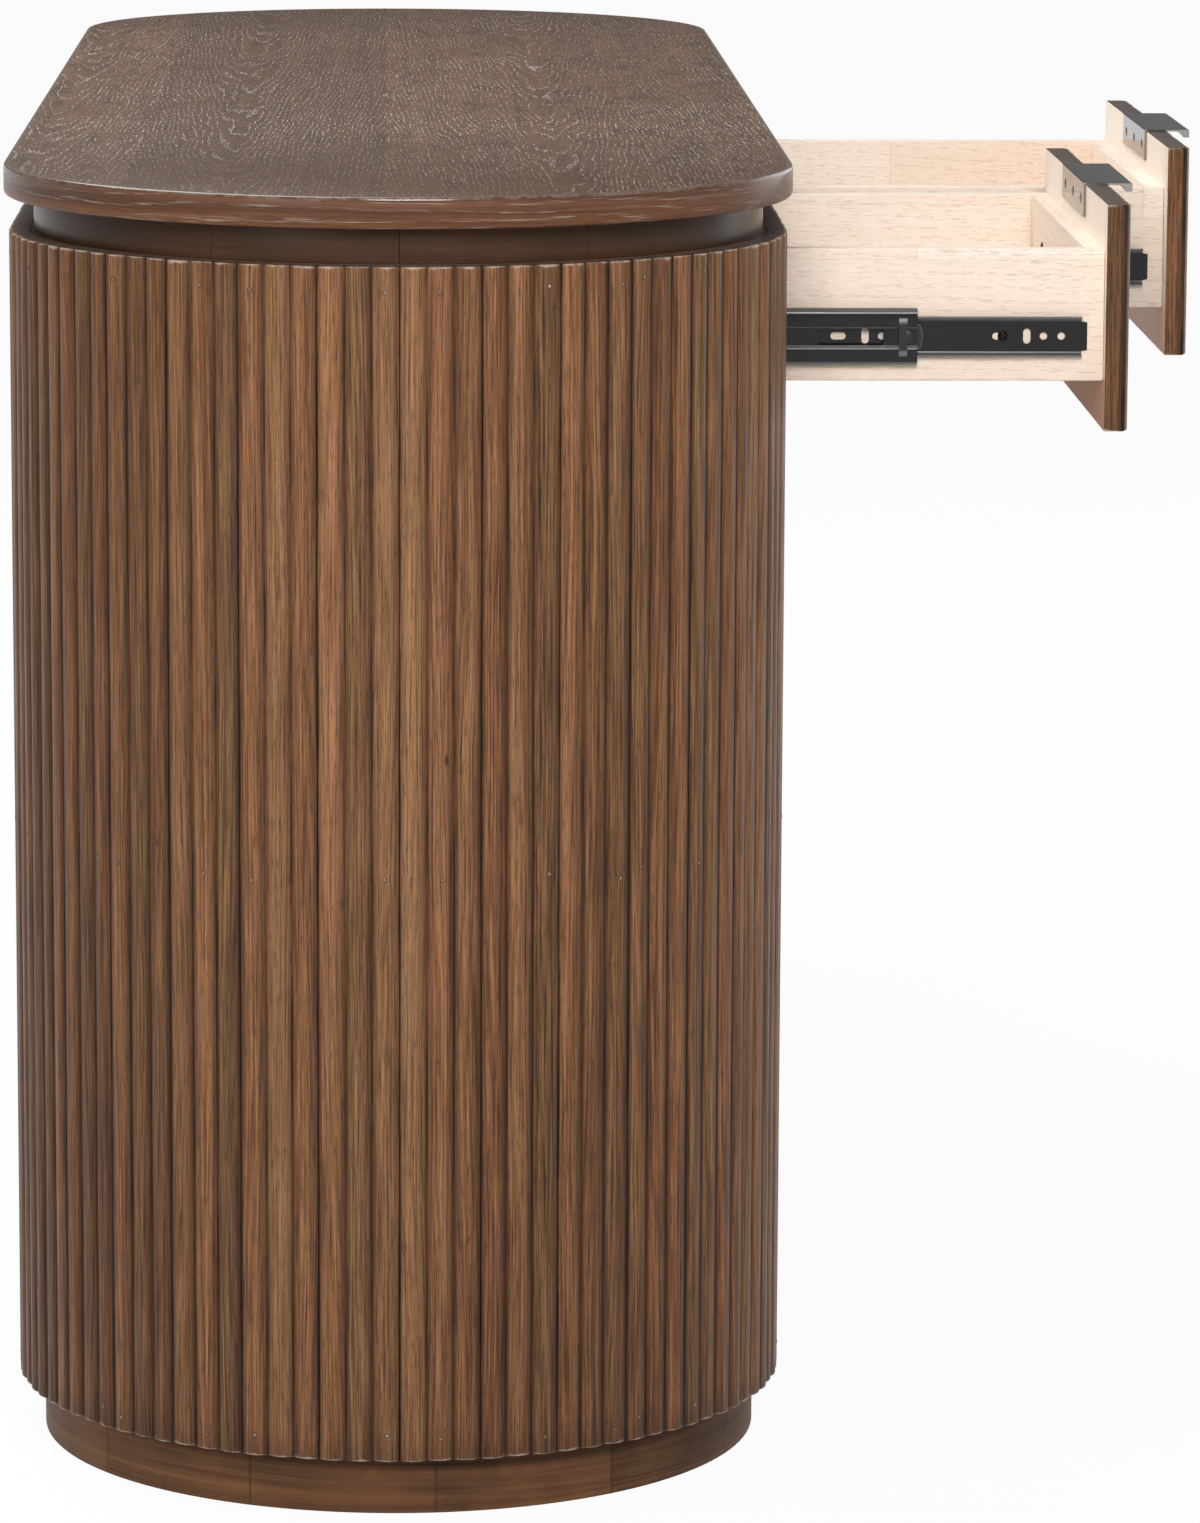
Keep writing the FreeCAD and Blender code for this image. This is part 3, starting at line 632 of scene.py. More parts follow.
class Heap:
    """The closed shells of one piece: points, faces, grain map and values per point."""

    def __init__(self):
        self.points, self.faces, self.maps, self.values, self.count = [], [], [], {}, 0

    def add(self, points, faces, grain, **values):
        points = np.asarray(points, float).reshape(-1, 3)
        self.points.append(points)
        self.maps.append(np.asarray(grain, float).reshape(-1, 2))
        self.faces += [face + self.count for face in faces]
        for key, value in values.items():
            filled = np.broadcast_to(np.asarray(value, float).ravel(), (len(points),))
            self.values.setdefault(key, []).append((self.count, filled))
        self.count += len(points)

    def tube(self, points, caps, grain, **values):
        """A tube stored row by row, closed round its ring and capped at both ends."""
        rows, ring = points.shape[:2]
        self.add(points, [tube_faces(rows, ring), caps(rows, ring)], grain, **values)

    def lay(self, name, material, body, nodes, sharp=38.0):
        """Puts the shells into one mesh, turned outwards, riding on a body in place of CAD nodes."""
        if not self.points:
            raise RuntimeError(name + " has no shells")
        mesh = bpy.data.meshes.new(name)
        corner = np.concatenate([face.ravel() for face in self.faces]).astype(np.int32)
        sizes = np.concatenate([np.full(len(face), face.shape[1]) for face in self.faces])
        mesh.vertices.add(self.count)
        mesh.vertices.foreach_set("co", np.concatenate(self.points).astype(np.float32).ravel())
        mesh.loops.add(len(corner))
        mesh.loops.foreach_set("vertex_index", corner)
        mesh.polygons.add(len(sizes))
        mesh.polygons.foreach_set("loop_start", (np.cumsum(sizes) - sizes).astype(np.int32))
        mesh.update(calc_edges=True)
        shell = bmesh.new()
        shell.from_mesh(mesh)
        bmesh.ops.recalc_face_normals(shell, faces=shell.faces[:])
        shell.to_mesh(mesh)
        shell.free()
        vertex = np.empty(len(mesh.loops), np.int32)
        mesh.loops.foreach_get("vertex_index", vertex)
        layer = mesh.uv_layers.new(name="grain")
        layer.data.foreach_set("uv", np.concatenate(self.maps)[vertex].astype(np.float32).ravel())
        for key, stretches in self.values.items():
            whole = np.zeros(self.count, np.float32)
            for start, filled in stretches:
                whole[start:start + len(filled)] = filled
            mesh.attributes.new(key, "FLOAT", "POINT").data.foreach_set("value", whole)
        mesh.shade_smooth()
        mesh.set_sharp_from_angle(angle=math.radians(sharp))
        mesh.materials.append(material)
        piece = bpy.data.objects.new(name, mesh)
        bpy.context.scene.collection.objects.link(piece)
        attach(piece, body)
        if nodes:
            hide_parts(*nodes)
        return piece


def tube_faces(rows, ring):
    """Quads round a tube stored row by row, closed round its ring."""
    row = np.arange(rows - 1)[:, None] * ring
    col = np.arange(ring)[None, :]
    after = (col + 1) % ring
    return np.stack([row + col, row + after, row + ring + after, row + ring + col], -1).reshape(-1, 4)


def ladder_caps(rows, ring):
    """Quads across both ends of a tube whose ring goes out along one side and back along the other."""
    step = np.arange(ring // 2 - 1)
    cap = np.stack([step, step + 1, ring - 2 - step, ring - 1 - step], -1)
    return np.concatenate([cap, cap + (rows - 1) * ring])


def whole_caps(rows, ring):
    """One many-cornered face on each end of a tube."""
    cap = np.arange(ring)[None, :]
    return np.concatenate([cap, cap + (rows - 1) * ring])


def stacked(x, y, z):
    """Points of a grid from three arrays, each spread to the shape of all."""
    return np.stack(np.broadcast_arrays(x, y, z), -1)


def soften(corner_points, radius, steps=4, closed=True):
    """Outline with each corner replaced by a parabola that starts and ends one radius from it."""
    points = np.asarray(corner_points, float)
    radii = np.broadcast_to(np.asarray(radius, float), (len(points),))
    back = np.roll(points, 1, 0) - points
    ahead = np.roll(points, -1, 0) - points
    back /= np.linalg.norm(back, axis=1, keepdims=True)
    ahead /= np.linalg.norm(ahead, axis=1, keepdims=True)
    share = np.linspace(0.0, 1.0, steps)[None, :, None]
    start = (points + back * radii[:, None])[:, None, :]
    end = (points + ahead * radii[:, None])[:, None, :]
    bent = (1 - share) ** 2 * start + 2 * share * (1 - share) * points[:, None, :] + share ** 2 * end
    keep = np.ones((len(points), steps), bool)
    plain = radii <= 0.0
    if not closed:
        plain = plain.copy()
        plain[[0, -1]] = True
    keep[plain, 1:] = False
    bent[plain, 0] = points[plain]
    return bent[keep]


def sheet_ring(path, thickness):
    """Ring round a thin sheet: the path moved half its thickness to one side, then to the other."""
    along = np.gradient(path, axis=0)
    along /= np.linalg.norm(along, axis=1, keepdims=True)
    normal = np.stack([-along[:, 1], along[:, 0]], -1) * thickness / 2.0
    return np.concatenate([path + normal, (path - normal)[::-1]])


def arc_lengths(points):
    """Running length along a row of points."""
    steps = np.linalg.norm(np.diff(points, axis=0), axis=1)
    return np.concatenate([[0.0], np.cumsum(steps)])


def shared_reeds(run, sizes):
    """Reed counts of the staves along a run, as even as they come."""
    reeds = max(1, round(run / sizes.reed_pitch))
    staves = math.ceil(reeds / sizes.reeds_per_stave)
    return [reeds // staves + (1 if index < reeds % staves else 0) for index in range(staves)]


def end_plan(sign, sizes):
    """Staves round one end: middle, outward, width, half angle and reeds of each."""
    counts = shared_reeds(QUARTER * skin_radius, sizes)
    step = QUARTER / sum(counts)
    plan = []
    turned = 0.0
    for reeds in counts:
        half = reeds * step / 2.0
        for turn in (-1.0, 1.0):
            angle = turn * (turned + half)
            outward = np.array([sign * math.cos(angle), math.sin(angle)])
            middle = np.array([sign * straight_half, mid_y]) + skin_radius * outward
            width = 2.0 * (skin_radius - sizes.reed_depth) * math.tan(half)
            plan.append((middle, outward, width, half, reeds))
        turned += 2.0 * half
    return plan


def straight_plan(x0, x1, side, sizes):
    """Staves along a straight run of the front or the back."""
    counts = shared_reeds(x1 - x0, sizes)
    pitch = (x1 - x0) / sum(counts)
    starts = x0 + pitch * np.concatenate([[0], np.cumsum(counts)[:-1]])
    outward = np.array([0.0, side])
    plan = []
    for start, reeds in zip(starts, counts):
        middle = np.array([start + reeds * pitch / 2.0, mid_y + side * skin_radius])
        plan.append((middle, outward, reeds * pitch, 0.0, reeds))
    return plan


def reeded_shell(heap, rng, stave, thickness, z0, z1, sizes, bare_back=0.0):
    """One reeded board: the section depth * |t|^crown over each reed, carried upright with rounded ends.

    Three columns at each side go down into the joint. Thirteen rows rise from the foot, and those next to
    the ends follow a quarter circle. bare_back is 1 where the back is left unstained.
    """
    middle, outward, width, half, reeds = stave
    width = width - sizes.stave_joint
    pitch = width / reeds
    bow = np.sin(np.linspace(-QUARTER, QUARTER, 11))
    crown = 1.0 - sizes.groove_width / pitch
    starts = -width / 2.0 + pitch * np.arange(reeds)
    across = (starts[:, None] + pitch / 2.0 * (1.0 + crown * bow[None, :])).ravel()
    depth = np.tile(sizes.reed_depth * np.abs(bow) ** sizes.reed_crown, reeds)
    tone = np.repeat(np.clip(rng.normal(0.5, 0.2, reeds), 0.0, 1.0), len(bow))
    ends = np.repeat(sizes.reed_end_round * rng.uniform(0.6, 1.5, reeds), len(bow))
    joint = 3
    joint_depth = np.array([0.0062, 0.0057, sizes.reed_depth])
    # Painted shade deep in each joint between staves; on a drawer front it darkens the exposed ends.
    joint_dark = np.array([0.50, 0.85, 1.30])
    dark = np.clip(depth / sizes.reed_depth, 0.0, 1.0)
    dark = np.concatenate([joint_dark, dark, joint_dark[::-1]])
    across = np.concatenate([np.full(joint, -width / 2.0), across, np.full(joint, width / 2.0)])
    depth = np.concatenate([joint_depth, depth, joint_depth[::-1]])
    # Flank mark for painted shade: 0 on one flank of each reed, rising to 1 on the other flank and in the
    # joint.
    lee = np.tile(np.clip((bow - 0.1) / 0.8, 0.0, 1.0), reeds)
    lee = np.concatenate([np.zeros(joint), lee, np.ones(joint)])
    tone = np.pad(tone, joint, "edge")
    ends = np.pad(ends, joint, "edge")
    turn = np.radians([90.0, 60.0, 30.0, 0.0])
    inset = np.concatenate([1 - np.cos(turn), np.zeros(5), (1 - np.cos(turn))[::-1]])
    lift = np.concatenate([1 - np.sin(turn), np.ones(5), (1 - np.sin(turn))[::-1]])
    fixed = np.array([0, 0, 0, 0, 0.003, 0.0285, 0.0315, 0.014, 0.003, 0, 0, 0, 0])
    # Edge mark at both ends of the reeds, for the worn arrises and their painted highlight.
    edge = np.array([0.4, 1.0, 1.0, 0.7, 0.1, 0, 0, 0, 0.1, 0.7, 1.0, 1.0, 0.4])
    row = np.arange(len(fixed))
    # Lower back rows, marked for painted shade with warm bounce light.
    low = np.where(row < 6, bare_back, 0.0)
    end = np.where((row == 0) | (row == row[-1]), 1.0, 0.0)
    rise = lift[:, None] * ends[None, :] + fixed[:, None]
    level = np.where(row[:, None] > 6, z1 - rise, z0 + rise)
    inward = depth[None, :] + inset[:, None] * ends[None, :]
    tangent = np.array([-outward[1], outward[0]])

    def placed(along, into, z):
        flat = middle + along[..., None] * tangent - into[..., None] * outward
        return np.concatenate([flat, z[..., None]], -1)

    shape = level.shape
    inner_share = 1.0 - 2.0 * (thickness - sizes.reed_depth) * math.tan(half) / width
    outer = placed(np.broadcast_to(across, shape), inward, level)
    flat_level = np.broadcast_to(np.clip(level.mean(1, keepdims=True), z0, z1), shape)
    spread = across.copy()
    spread[:joint] += (0.0, 0.0003, 0.0004)
    spread[-joint:] -= (0.0004, 0.0003, 0.0)
    inner = placed(np.broadcast_to(spread * inner_share, shape), np.full(shape, thickness), flat_level)
    points = np.concatenate([outer, inner[:, ::-1]], 1)
    front_grain = across.copy()
    front_grain[:joint] -= joint_depth - sizes.reed_depth
    front_grain[-joint:] += (joint_depth - sizes.reed_depth)[::-1]
    back_grain = across.copy()
    back_grain[[0, -1]] += np.array([-1.0, 1.0]) * (thickness - sizes.reed_depth)
    girth = np.concatenate([front_grain, back_grain[::-1]]) + rng.uniform(0.0, 40.0)
    nothing = np.zeros(shape)
    bare = np.full(shape, bare_back)
    bare[[0, -1]] = 0.0
    bare[:, [0, -1]] = 0.0
    ring = 2 * len(across)
    heap.tube(points, ladder_caps, np.stack(np.broadcast_arrays(girth, points[..., 2]), -1),
              tone=np.tile(np.concatenate([tone, tone[::-1]]), len(row)),
              groove=np.concatenate([np.broadcast_to(dark, shape), nothing], 1),
              lee=np.concatenate([np.broadcast_to(lee, shape), nothing], 1),
              inner=np.concatenate([nothing, bare], 1),
              edge=np.repeat(edge, ring), end=np.repeat(end, ring), low=np.repeat(low, ring))


def turned_shell(heap, profile, segments, place, axes, **values):
    """Lathe shape r(t), z(t) set down at a place, with its poles closed by triangles."""
    angle = np.arange(segments) / segments * 2.0 * math.pi
    radius, height = profile[1:-1, :1], profile[1:-1, 1:]
    wall = stacked(radius * np.cos(angle), radius * np.sin(angle), height).reshape(-1, 3)
    poles = np.array([[0.0, 0.0, profile[0, 1]], [0.0, 0.0, profile[-1, 1]]])
    set_down(heap, np.concatenate([wall, poles]), len(radius), segments, place, axes, **values)


def set_down(heap, local, rows, segments, place, axes, **values):
    """A tube with two poles, moved to its place and turned to its axes."""
    around = np.arange(segments)
    after = (around + 1) % segments
    last = (rows - 1) * segments
    count = rows * segments
    fans = np.concatenate([np.stack([np.full(segments, count), after, around], -1),
                           np.stack([np.full(segments, count + 1), last + around, last + after], -1)])
    heap.add(local @ axes + place, [tube_faces(rows, segments), fans], local[:, :2], **values)


def facing(outward):
    """Frame whose third axis points outwards, for upright faces."""
    third = np.array([*outward, 0.0])[:3]
    second = np.array([0.0, 0.0, 1.0])
    return np.stack([np.cross(second, third), second, third])


def lay_brads(name, plan, z0, z1, rng, sizes):
    """Filled brad holes on one reed of each stave: low domes r(t), z(t) sunk in the crest."""
    heap = Heap()
    segments = 8
    r = sizes.brad_diameter / 2.0
    profile = np.array([(0.0, -0.0006), (r, -0.0006), (r, 0.00004), (r * 0.7, 0.0001),
                        (r * 0.45, 0.00022), (0.0, 0.0003)])
    rim = np.concatenate([np.repeat([1.0, 1.0, 0.8, 0.0], segments), [1.0, 0.0]])
    for middle, outward, width, half, reeds in plan:
        pitch = width / reeds
        reed = rng.integers(0, reeds)
        tangent = np.array([-outward[1], outward[0]])
        for level in (z0 + sizes.brad_inset, sizes.brad_level, z1 - sizes.brad_inset):
            z = level + rng.uniform(-0.004, 0.004)
            off = (reed + 0.5) * pitch - width / 2.0 + rng.uniform(-0.001, 0.001)
            place = np.array([*(middle + tangent * off), z])
            turned_shell(heap, profile, segments, place, facing(outward), edge=rim)
    heap.lay(name, finish(brad_filler), "desk", ())


def soft_board(heap, low, high, axis, arris, rng):
    """Board with softened edges: a rounded rectangle carried along the grain, drawn in at both ends."""
    low, high = np.asarray(low, float), np.asarray(high, float)
    first, second = [index for index in range(3) if index != axis]
    centre, half = (low + high) / 2.0, (high - low) / 2.0
    arris = min(arris, half.min() * 0.45)
    turn = np.radians([0.0, 45.0, 90.0])
    draw = np.concatenate([arris * (1 - np.sin(turn)), arris * (1 - np.sin(turn))[::-1]])
    reach = half[axis] - arris * (1 - np.cos(turn))
    along = np.concatenate([-reach, reach[::-1]])
    a, b = half[first], half[second]
    outline = soften([(-a, -b), (-a, b), (a, b), (a, -b)], arris, 4)
    outline = np.roll(outline, -2, 0)
    sign = np.sign(outline)
    ring = outline[None, :, :] - sign[None, :, :] * draw[:, None, None]
    rows, count = len(along), len(outline)
    points = np.zeros((rows, count, 3))
    points[..., first] = centre[first] + ring[..., 0]
    points[..., second] = centre[second] + ring[..., 1]
    points[..., axis] = (centre[axis] + along)[:, None]
    girth = arc_lengths(np.concatenate([outline, outline[:1]]))[:-1]
    grain = np.stack([np.broadcast_to(girth + rng.uniform(0.0, 9.0), (rows, count)),
                      np.broadcast_to((along + rng.uniform(0.0, 9.0))[:, None], (rows, count))], -1)
    heap.tube(points, whole_caps, grain, tone=rng.uniform(0.0, 1.0),
              edge=np.repeat((draw > 0.0).astype(float), count))


def lay_boards(nodes, axis, material, body, seed):
    """Softened boards in place of plain CAD boards, grain along one axis."""
    arris = bpy.context.scene.desk_sizes.arris
    rng = np.random.default_rng(seed)
    for node in nodes:
        heap = Heap()
        soft_board(heap, *corners(node), axis, arris, rng)
        heap.lay(node + "_board", material, body, (node,))


def bent_run(*stretches):
    """Spine place and facing angle along straight and round stretches, each from one pair to the next."""
    places = []
    for x0, a0, x1, a1, steps in stretches:
        places.append(np.linspace((x0, a0), (x1, a1), steps, endpoint=False))
    return np.concatenate(places + [[stretches[-1][2:4]]])


def bent_band(heap, run, outline, tone=0.0, edge=0.0):
    """An outline of inset and height carried along a run round the desk, with closed ends."""
    reach = skin_radius - outline[:, 0]
    x = run[:, :1] + reach * np.cos(run[:, 1:])
    y = mid_y + reach * np.sin(run[:, 1:])
    girth = arc_lengths(np.concatenate([outline, outline[:1]]))[:-1]
    travelled = arc_lengths(run * np.array([1.0, skin_radius]))
    grain = np.stack(np.broadcast_arrays(girth, travelled[:, None]), -1)
    heap.tube(stacked(x, y, outline[:, 1]), whole_caps, grain, tone=tone,
              edge=np.tile(np.broadcast_to(edge, girth.shape), len(run)))


def band_outline(inset, thickness, z0, z1, arris):
    """Rectangle of inset and height with softened corners."""
    return soften([(inset, z0), (inset, z1), (inset + thickness, z1), (inset + thickness, z0)], arris, 4)


class DESK_OT_reeded_body(bpy.types.Operator):
    """Reeded staves round both ends, along the fronts of the pedestals and over the whole back"""
    bl_idname = "desk.reeded_body"
    bl_label = "Reeded body"

    def execute(self, context):
        sizes = context.scene.desk_sizes
        z0, z1 = skin_low[2], skin_high[2]
        plans = [("back_staves", straight_plan(-straight_half, straight_half, 1.0, sizes))]
        for side, sign in SIDES:
            plans.append((side + "_end_staves", end_plan(sign, sizes)))
            run = sorted((sign * knee_half, sign * straight_half))
            plans.append((side + "_front_staves", straight_plan(*run, -1.0, sizes)))
        for index, (node, plan) in enumerate(plans):
            rng = np.random.default_rng(SEEDS["staves"] + index)
            heap = Heap()
            for stave in plan:
                reeded_shell(heap, rng, stave, sizes.stave_thickness, z0, z1, sizes)
            heap.lay(node + "_reeds", finish(reeded_wood), "desk", (node,))
            lay_brads(node + "_brads", plan, z0, z1, rng, sizes)
        return {"FINISHED"}


class DESK_OT_writing_top(bpy.types.Operator):
    """Veneered slab and the lipping bent round it"""
    bl_idname = "desk.writing_top"
    bl_label = "Writing top"

    def execute(self, context):
        z0, z1 = band_low[2], band_high[2]
        out, core = inset_of("top_edge_band"), inset_of("top_slab")
        round_out, lap, gap, seam = 0.003, 0.0006, 0.0002, 0.0001
        polish_depth, polish_fade = 0.0025, 0.0012
        rim = out + round_out * 0.75
        end, behind = straight_half, -3.0 * QUARTER
        run = bent_run((seam, QUARTER, end, QUARTER, 4), (end, QUARTER, end, -QUARTER, 72),
                       (end, -QUARTER, -end, -QUARTER, 8), (-end, -QUARTER, -end, behind, 72),
                       (-end, behind, -seam, behind, 4))
        path = [(core, z0), (out, z0), (out, z1), (rim + gap, z1), (rim + gap, z1 - lap),
                (core, z1 - lap)]
        outline = soften(path, [0.0, round_out, round_out * 0.72, 0.0, 0.0, 0.0], 8)
        near_top = np.clip((outline[:, 1] - z1 + polish_depth) / polish_fade, 0.0, 1.0)
        edge = np.where(outline[:, 0] < out + round_out, near_top * 0.95, 0.0)
        heap = Heap()
        bent_band(heap, run, outline, 0.0, edge)
        heap.lay("top_lipping", finish(lipping), "desk", ("top_edge_band",))
        heap = Heap()
        steps = [(core, z0), (core, z1 - lap), (rim, z1 - lap), (rim, z1 - 0.0001), (rim + gap, z1)]
        stadium_plate(heap, steps)
        heap.lay("top_veneer_slab", finish(veneer), "desk", ("top_slab",))
        return {"FINISHED"}


def stadium_plate(heap, steps):
    """Plate with half-round ends: its outline carried through steps of inset and height."""
    turns, lines = 48, 10
    arc = (np.arange(turns) + 0.5) / turns * QUARTER
    line = np.linspace(straight_half, -straight_half, lines)
    place = np.concatenate([np.full(turns, straight_half), line, np.full(turns, -straight_half)])
    angle = np.concatenate([arc, np.full(lines, QUARTER), QUARTER + arc])
    place = np.concatenate([place, place[::-1]])
    angle = np.concatenate([angle, -angle[::-1]])
    inset, level = np.array(steps).T[..., None]
    reach = skin_radius - inset
    points = stacked(place + reach * np.cos(angle), mid_y + reach * np.sin(angle), level)
    heap.tube(points, ladder_caps, points[..., :2])


class DESK_OT_riser_and_plinth(bpy.types.Operator):
    """Bent riser strips under the top, plinth bands and their straight rails"""
    bl_idname = "desk.riser_and_plinth"
    bl_label = "Riser and plinth"

    def execute(self, context):
        sizes = context.scene.desk_sizes
        # The riser takes a darker light colour: partly painted shade under the overhang of the top.
        riser = finish(stained_wood, "riser_wood", "riser_light_shaded", sizes.block_length, 0.30, 0.16)
        plinth = finish(stained_wood, "plinth_wood", "stain_light", sizes.block_length, 0.52, 0.1)
        riser_low, riser_high = corners("right_riser_band")
        plinth_low, plinth_high = corners("right_plinth")
        plinth_inset = inset_of("right_plinth")
        rail_low, rail_high = corners("back_plinth_rail")
        wall = rail_high[1] - rail_low[1]
        deep = skin_radius - plinth_inset - wall
        strip, gap, seam = 0.012, 0.0006, 0.0001
        upper = band_outline(inset_of("right_riser_band"), strip, riser_low[2], riser_high[2], 0.0006)
        lower = band_outline(plinth_inset, wall, plinth_low[2], plinth_high[2], 0.0012)
        for index, (side, sign) in enumerate(SIDES):
            tip = 0.0 if sign > 0 else math.pi
            front = tip - sign * QUARTER
            back = tip + sign * QUARTER
            end = sign * straight_half
            inner = sign * plinth_low[0]
            heap = Heap()
            run = bent_run((end, tip - sign * gap, end, front, 36),
                           (end, front, sign * knee_half, front, 3))
            bent_band(heap, run, upper, 0.21 + 0.3 * index)
            run = bent_run((end, tip + sign * gap, end, back, 36), (end, back, sign * seam, back, 5))
            bent_band(heap, run, upper, 0.47 + 0.3 * index)
            heap.lay(side + "_riser_strips", riser, "desk", (side + "_riser_band",))
            heap = Heap()
            run = bent_run((inner, front, end, front, 3), (end, front, end, back, 72),
                           (end, back, inner, back, 3))
            bent_band(heap, run, lower, 0.63 + 0.2 * index)
            rng = np.random.default_rng(SEEDS["plinths"] + index)
            across = sorted((inner, inner + sign * wall))
            low = (across[0], mid_y - deep, plinth_low[2])
            high = (across[1], mid_y + deep, plinth_high[2])
            soft_board(heap, low, high, 1, sizes.arris, rng)
            heap.lay(side + "_plinth_band", plinth, "desk", (side + "_plinth",))
        rails = ("back_plinth_rail", "drawer_riser_rail")
        lay_boards(rails, 0, smooth_boards(), "desk", SEEDS["rails"])
        return {"FINISHED"}


class DESK_OT_carcass(bpy.types.Operator):
    """Boards of the kneehole and the drawer case, and the finish of the sheets inside"""
    bl_idname = "desk.carcass"
    bl_label = "Carcass"

    def execute(self, context):
        for nodes, axis, group in ((("left_knee_side", "right_knee_side"), 2, "knee_sides"),
                                   (("back_panel", "case_floor"), 0, "panels"),
                                   (("centre_divider",), 1, "divider")):
            lay_boards(nodes, axis, smooth_boards(), "desk", SEEDS[group])
        dress(["sub_top"], finish(hidden_boards))
        for side in SIDE_NAMES:
            dress([side + "_pedestal_floor", side + "_pedestal_rib"], finish(hidden_boards))
        return {"FINISHED"}


def dress(nodes, material):
    """Gives CAD nodes that stay as they are their finish."""
    for node in nodes:
        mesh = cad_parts[node].data
        mesh.materials.clear()
        mesh.materials.append(material)


class DESK_OT_drawer_fronts(bpy.types.Operator):
    """Reeded drawer fronts"""
    bl_idname = "desk.drawer_fronts"
    bl_label = "Drawer fronts"

    def execute(self, context):
        sizes = context.scene.desk_sizes
        for index, side in enumerate(SIDE_NAMES):
            node = side + "_drawer_front"
            low, high = corners(node)
            width = high[0] - low[0]
            middle = np.array([(low[0] + high[0]) / 2.0, low[1]])
            stave = (middle, np.array([0.0, -1.0]), width, 0.0, max(1, round(width / sizes.reed_pitch)))
            rng = np.random.default_rng(SEEDS["fronts"] - index)
            heap = Heap()
            reeded_shell(heap, rng, stave, high[1] - low[1], low[2], high[2], sizes, bare_back=1.0)
            heap.lay(node + "_reeds", finish(reeded_wood), side + "_drawer", (node,))
        return {"FINISHED"}


class DESK_OT_drawer_boxes(bpy.types.Operator):
    """Pale drawer boxes"""
    bl_idname = "desk.drawer_boxes"
    bl_label = "Drawer boxes"

    def execute(self, context):
        pale = finish(drawer_wood)
        for index, side in enumerate(SIDE_NAMES):
            body = side + "_drawer"
            walls = (body + "_inner_side", body + "_outer_side")
            lay_boards(walls, 1, pale, body, SEEDS["box_walls"] + index)
            cross = (body + "_box_front", body + "_box_back", body + "_floor")
            lay_boards(cross, 0, pale, body, SEEDS["box_cross"] + index)
        return {"FINISHED"}


class DESK_OT_pulls(bpy.types.Operator):
    """Bent edge pulls over the drawer fronts"""
    bl_idname = "desk.pulls"
    bl_label = "Pulls"

    def execute(self, context):
        foot, drop, lip, arris = 0.0038, 0.0041, 0.0069, 0.0003
        radii = [0.0003, 0.0011, 0.0012, 0.0007, 0.0008, 0.0014, 0.0002, 0.0003]
        for side in SIDE_NAMES:
            node = side + "_drawer_pull"
            low, high = corners(node)
            face, top = corners(side + "_drawer_front")[1][1:]
            sheet = high[2] - top
            path = [(face + sheet, low[2]), (face + sheet, top + sheet), (low[1], top + sheet),
                    (low[1], top - drop), (low[1] + foot, top - drop), (low[1] + lip, top), (face, top),
                    (face, low[2])]
            outline = soften(path, radii, 5)
            ends = np.array([low[0], low[0] + arris, high[0] - arris, high[0]])
            points = stacked(ends[:, None], outline[:, 0], outline[:, 1])
            points[[0, -1], :, 1:] = soften_inwards(outline, 0.00025)
            heap = Heap()
            heap.tube(points, whole_caps, points[..., :2], edge=0.0)
            heap.lay(node + "_plate", gunmetal(), side + "_drawer", (node,), sharp=30.0)
        return {"FINISHED"}


def soften_inwards(outline, by):
    """Outline moved inwards along its own normals."""
    along = np.roll(outline, -1, 0) - np.roll(outline, 1, 0)
    along /= np.linalg.norm(along, axis=1, keepdims=True)
    normal = np.stack([-along[:, 1], along[:, 0]], -1)
    area = np.sum(outline[:, 0] * np.roll(outline[:, 1], -1) - np.roll(outline[:, 0], -1) * outline[:, 1])
    return outline + normal * by * np.sign(area)


def slide_walls(sign):
    """Wall planes that a drawer's two slides stand on, with the direction towards the drawer."""
    return ((sign * divider_half, sign), (sign * knee_half, -sign))


class DESK_OT_slides(bpy.types.Operator):
    """Ball slides: case, middle and drawer members, with their cages and clips"""
    bl_idname = "desk.slides"
    bl_label = "Slides"

    def execute(self, context):
        sheet = context.scene.desk_sizes.slide_sheet
        black = finish(worked_metal, "slide_black", 0.22, 0.0, 700.0)
        grey = finish(worked_metal, "clip_grey", 0.36, 0.0, 700.0)
        for side, sign in SIDES:
            middle_body, drawer = side + "_mid_slides", side + "_drawer"
            for kind, body in (("case", "desk"), ("mid", middle_body), ("drawer", drawer)):
                node = side + "_" + kind + "_rails"
                low, high = corners(node)
                line = rail_section(kind, (high[2] - low[2]) / 2.0 - sheet / 2.0, sheet / 2.0)
                heap = Heap()
                for wall, turn in slide_walls(sign):
                    rail_shell(heap, kind, line, sheet, wall, turn, low, high)
                heap.lay(node + "_rolled", black, body, (node,), sharp=30.0)
            heap = Heap()
            low, high = corners(side + "_mid_rails")
            for wall, turn in slide_walls(sign):
                pressed_clips(heap, wall, turn, low[1], (low[2] + high[2]) / 2.0)
            node = side + "_mid_rail_clips"
            heap.lay(node + "_pressed", grey, middle_body, (node,), sharp=30.0)
            dress([side + "_outer_ball_cages", side + "_inner_ball_cages"], grey)
        return {"FINISHED"}


